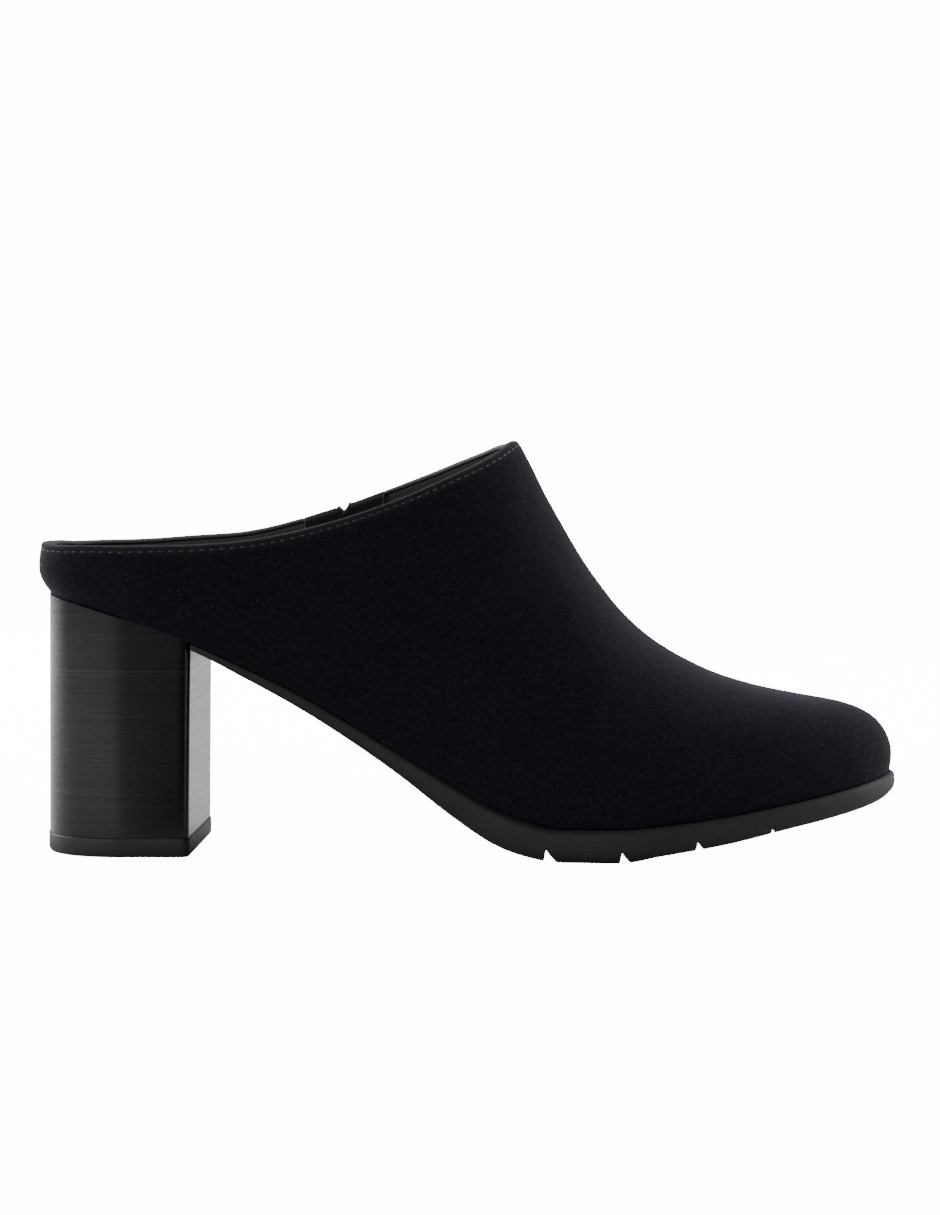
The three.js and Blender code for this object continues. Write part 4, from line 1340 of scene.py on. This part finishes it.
def make_lining():
    """Knitted lining, with painted shade in the crevice under the fold, and a painted highlight on the fold's
    inner face that grows towards the front.
    """
    made, tree, shader, at = material("lining", Specular_IOR_Level=0.3, Sheen_Weight=0.1)
    knit = use_group(tree, KNIT, Vector=at, Pitch=0.55)
    rim = attribute(tree, "rim")
    colour = blend(tree, knit["Tone"], LINING["dark"], LINING["light"])
    # Painted shade: the crevice under the fold is darkened in the colour
    colour = blend(tree, ramp(tree, rim, 1.35, 1.75, 1.0, 0.0), colour, LINING["crevice"])
    ahead = node(tree, "SeparateXYZ", {0: at}).outputs[0]
    # Painted highlight on the fold's inner face, stronger towards the front
    fold = blend(tree, ramp(tree, ahead, FOLD_HIGHLIGHT_FROM, FOLD_HIGHLIGHT_TO), LINING["fold_highlight_back"], LINING["fold_highlight_front"])
    colour = blend(tree, ramp(tree, rim, 0.75, 1.0, 1.0, 0.0), colour, fold)
    finish(tree, shader, colour, ramp(tree, knit["Height"], 0, 1, 0.75, 0.6), knit["Height"], 0.03)
    return made


ELASTIC = {
    "dark": (0.004, 0.0042, 0.005), "light": (0.009, 0.0094, 0.011), "top": (0.05, 0.05, 0.053),
    "ear": (0.16, 0.16, 0.17), "side_highlight": (0.06, 0.061, 0.066),
}


def make_elastic():
    """Knitted elastic with a painted highlight at its top, pale ears, and a painted highlight along each side
    seam.
    """
    made, tree, shader, at = material("elastic", Specular_IOR_Level=0.2, Sheen_Weight=0.05)
    knit = use_group(tree, KNIT, Vector=at, Pitch=0.4)
    drop = attribute(tree, "drop")
    ear, tip = ramp(tree, attribute(tree, "ear"), 0.15, 0.4), ramp(tree, drop, 0.2, 0.9, 1.0, 0.0)
    # Painted highlight: a pale line along each side seam of the gore
    side_highlight = ramp(tree, attribute(tree, "side"), 0.3, 0.5, 1.0, 0.0)
    colour = blend(tree, knit["Tone"], ELASTIC["dark"], ELASTIC["light"])
    # Painted highlight: the top of the elastic is paler, as where it catches the light
    colour = blend(tree, ramp(tree, drop, 0.0, 2.1, 0.85, 0.0), colour, ELASTIC["top"])
    colour = blend(tree, times(tree, ear, tip), colour, ELASTIC["ear"])
    colour = blend(tree, side_highlight, colour, ELASTIC["side_highlight"])
    finish(tree, shader, colour, ramp(tree, knit["Height"], 0, 1, 0.85, 0.7), knit["Height"], 0.04)
    return made


SOCK = {"dark": (0.008, 0.0082, 0.009), "light": (0.02, 0.0205, 0.022)}


def make_sock():
    """The insole's smooth sock lining, with a very short nap."""
    made, tree, shader, at = material("sock", Specular_IOR_Level=0.3, Sheen_Weight=0.05)
    nap = use_group(tree, NAP, Vector=at, Size=0.5, Specks=0.02)
    colour = blend(tree, nap["Tone"], SOCK["dark"], SOCK["light"])
    finish(tree, shader, colour, ramp(tree, nap["Height"], 0.2, 1, 0.75, 0.6), nap["Height"], 0.04)
    return made


# edge is painted shade at the sole's top edge, under the upper
RUBBER = {
    "dark": (0.0048, 0.0049, 0.0053), "light": (0.0108, 0.011, 0.0116), "edge": (0.0015, 0.0015, 0.0017),
    "dust": (0.05, 0.048, 0.045), "rough": (0.76, 0.62),
}
LIFT = {
    "dark": (0.003, 0.0032, 0.0036), "light": (0.007, 0.0072, 0.008), "dust": (0.05, 0.048, 0.045),
    "rough": (0.6, 0.48),
}


def make_rubber(name, looks, dust, depth):
    """Moulded rubber under a little dust. The sole's has painted shade at its top edge, under the upper."""
    made, tree, shader, at = material(name, Specular_IOR_Level=0.4)
    moulded = use_group(tree, MOULDED, Vector=at)
    colour = blend(tree, moulded["Tone"], looks["dark"], looks["light"])
    # Painted shade: the sole's top edge, under the upper, is darkened in the colour
    if "edge" in looks:
        colour = blend(tree, ramp(tree, attribute(tree, "down"), 0.02, 0.3, 0.8, 0.0), colour, looks["edge"])
    drift = use_group(tree, DUST, Vector=at, Amount=dust)["Mask"]
    colour = blend(tree, drift, colour, looks["dust"])
    rough = ramp(tree, moulded["Tone"], 0.3, 0.8, *looks["rough"])
    finish(tree, shader, colour, rough, moulded["Height"], depth)
    return made


STACK = {
    "dark": (0.0018, 0.0021, 0.0028), "light": (0.0044, 0.0049, 0.0062), "bright": (0.02, 0.02, 0.022),
    "seam": (0.001, 0.001, 0.001), "dust": (0.05, 0.05, 0.05),
}


def make_stack():
    """The heel's stacked leather under a satin coat that the lines break up."""
    made, tree, shader, at = material("stack", Specular_IOR_Level=0.12, Coat_Roughness=0.2)
    lines = use_group(tree, LINES, Vector=at)
    dust = use_group(tree, DUST, Vector=at, Amount=0.1)["Mask"]
    colour = blend(tree, lines["Tone"], STACK["dark"], STACK["light"])
    colour = blend(tree, times(tree, lines["Bright"], 0.25), colour, STACK["bright"])
    colour = blend(tree, lines["Seam"], colour, STACK["seam"])
    colour = blend(tree, dust, colour, STACK["dust"])
    gloss = ramp(tree, lines["Tone"], 0.34, 0.62, 0.5, 0.58)
    gloss = plus(tree, gloss, times(tree, lines["Bright"], 0.12))
    gloss = minus(tree, gloss, times(tree, lines["Seam"], 0.08), clamp=True)
    plug(tree, shader.inputs["Coat Weight"], gloss)
    finish(tree, shader, colour, ramp(tree, lines["Tone"], 0.3, 0.7, 0.36, 0.24), lines["Height"], 0.006)
    return made


THREAD = {"dark": (0.016, 0.016, 0.019), "light": (0.042, 0.042, 0.046), "hole_shade": (0.001, 0.001, 0.0012)}


def make_thread():
    """Twisted thread, and the painted shade of the needle holes."""
    made, tree, shader, at = material("thread", Specular_IOR_Level=0.4, Sheen_Weight=0.2)
    twist = noise(tree, at, 5200.0, 1.0)
    colour = blend(tree, noise(tree, at, 300.0, 1.0), THREAD["dark"], THREAD["light"])
    # Painted shade: the capsules at the needle holes are near black
    colour = blend(tree, attribute(tree, "hole_shade"), colour, THREAD["hole_shade"])
    finish(tree, shader, colour, ramp(tree, twist, 0.2, 0.8, 0.7, 0.5), twist, 0.04)
    return made


OUTER, OUTER_DISTANCE = make_upper(make_nubuck(), make_lining())
make_stitches(OUTER, OUTER_DISTANCE, make_thread())
make_gore(make_elastic())
make_insole(make_sock())
make_outsole(make_rubber("rubber", RUBBER, dust=0.25, depth=0.035))
make_heel(make_stack())
make_lift(make_rubber("lift", LIFT, dust=0.3, depth=0.015))

# Camera, fitted to the photo: place in millimetres, angles in degrees
CAMERA_AT = (24.25, -771.5, 109.9)
YAW, PITCH, ROLL = (math.radians(angle) for angle in (1.735, 2.97, -0.28))
LENS, SENSOR = 78.22, 36


def make_camera():
    """The photo's camera: turned by the yaw, down by the pitch, then rolled."""
    ahead = Vector((-math.sin(YAW) * math.cos(PITCH), math.cos(YAW) * math.cos(PITCH), -math.sin(PITCH)))
    right = ahead.cross(Vector((0, 0, 1))).normalized()
    up = right.cross(ahead)
    side = right * math.cos(ROLL) + up * math.sin(ROLL)
    top = up * math.cos(ROLL) - right * math.sin(ROLL)
    data = bpy.data.cameras.new("camera")
    data.lens = LENS
    data.sensor_width = SENSOR
    data.clip_start = 0.01
    camera = bpy.data.objects.new("camera", data)
    turn = Matrix((side, top, -ahead)).transposed().to_4x4()
    camera.matrix_world = Matrix.Translation(Vector(CAMERA_AT) * MM) @ turn
    bpy.context.collection.objects.link(camera)
    bpy.context.scene.camera = camera


# The floor's glow, and the dark wedge that reflections see in front of the shoe, in metres and radians
PAPER = {"dark": (0.02, 0.02, 0.02), "light": (0.9, 0.9, 0.9)}
PAPER_GLOW = 14.0
FLAG_AT = (-0.095, -0.02)  # tip of the wedge
FLAG_RIGHT = (-1.15, -0.55)  # angles over which it begins on its right and ends on its left
FLAG_LEFT = (0.06, 0.3)
FLAG_REACH = (0.0, 0.1)  # distance in front of the tip over which it darkens


def make_paper():
    """Pale paper that shows bright to the camera. In reflections a wedge of it is dark, as under a flag, and
    the paper is dimmer near and under the shoe as painted shade.
    """
    made, tree, shader, at = material("paper", Specular_IOR_Level=0.0)
    seen = node(tree, "LightPath").outputs["Is Camera Ray"]
    parts = node(tree, "SeparateXYZ", {0: at}).outputs
    left = minus(tree, FLAG_AT[0], parts[0])
    ahead = minus(tree, FLAG_AT[1], parts[1])
    angle = math_node(tree, "ARCTAN2", left, ahead)
    dark = times(tree, ramp(tree, angle, *FLAG_RIGHT), ramp(tree, angle, *FLAG_LEFT, 1.0, 0.0))
    dark = times(tree, dark, ramp(tree, ahead, *FLAG_REACH))
    # Painted shade: in reflections the paper dims near and under the shoe
    near = ramp(tree, ahead, 0.0, 0.3, 0.72, 1.0)
    lit = times(tree, minus(tree, 1.0, dark), near)
    share = math_node(tree, "MAXIMUM", seen, lit)
    finish(tree, shader, blend(tree, share, PAPER["dark"], PAPER["light"]), 1.0)
    plug(tree, shader.inputs["Emission Color"], (1, 1, 1))
    plug(tree, shader.inputs["Emission Strength"], times(tree, seen, PAPER_GLOW))
    return made


FLOOR_FRONT, FLOOR_SIDE = -3.0, 5.0  # metres
SWEEP_START, SWEEP_RADIUS = 1.6, 1.6
BACKDROP_HEIGHT = 6.0


def make_floor():
    """A pale floor that sweeps up far behind: a straight run, a quarter circle, then a wall."""
    turn = np.linspace(0, math.pi / 2, 24)
    away, rise = SWEEP_START + SWEEP_RADIUS * np.sin(turn), SWEEP_RADIUS * (1 - np.cos(turn))
    y = np.concatenate([[FLOOR_FRONT], away, away[-1:]])
    z = np.concatenate([[0.0], rise, [BACKDROP_HEIGHT]])
    x = np.array([-FLOOR_SIDE, FLOOR_SIDE])
    points = np.stack(np.broadcast_arrays(x, y[:, None], z[:, None]), -1)
    mesh = bpy.data.meshes.new("floor")
    mesh.from_pydata(points.reshape(-1, 3).tolist(), [], grid_faces(len(y), 2).tolist())
    mesh.materials.append(make_paper())
    mesh.shade_smooth()
    floor = bpy.data.objects.new("floor", mesh)
    bpy.context.collection.objects.link(floor)


def softbox(name, at, aim, width, height, power):
    """A rectangular light in metres, facing a point."""
    data = bpy.data.lights.new(name, "AREA")
    data.shape = "RECTANGLE"
    data.size, data.size_y = width, height
    data.energy = power
    light = bpy.data.objects.new(name, data)
    light.location = at
    light.rotation_euler = (Vector(aim) - Vector(at)).to_track_quat("-Z", "Y").to_euler()
    bpy.context.collection.objects.link(light)


LIGHTS = (  # name, place, the point it faces, width and height in metres, and power
    ("top", (0.1, 0.35, 1.3), (0, 0.05, 0), 2.0, 1.6, 13.5),
    ("left_front", (-0.88, -0.89, 0.7), (-0.08, 0, 0.05), 1.5, 0.95, 16),
    ("left_back", (-1.15, 0.75, 0.55), (-0.1, 0, 0.06), 1.0, 0.9, 23),
    ("right", (1.15, 0.35, 0.5), (0.05, 0, 0.05), 1.0, 0.9, 21),
    ("wash", (0, 1.6, 2.4), (0, 2.6, 0.4), 4.0, 1.0, 40),
)
WORLD_GLOW = 0.06


def make_world():
    """A white world, dim to all but the camera."""
    world = bpy.data.worlds.new("world")
    world.use_nodes = True
    tree = world.node_tree
    background = tree.nodes["Background"]
    plug(tree, background.inputs["Color"], (1, 1, 1))
    seen = node(tree, "LightPath").outputs["Is Camera Ray"]
    plug(tree, background.inputs["Strength"], ramp(tree, seen, 0, 1, WORLD_GLOW, PAPER_GLOW))
    bpy.context.scene.world = world


make_camera()
make_floor()
for light in LIGHTS:
    softbox(*light)
make_world()
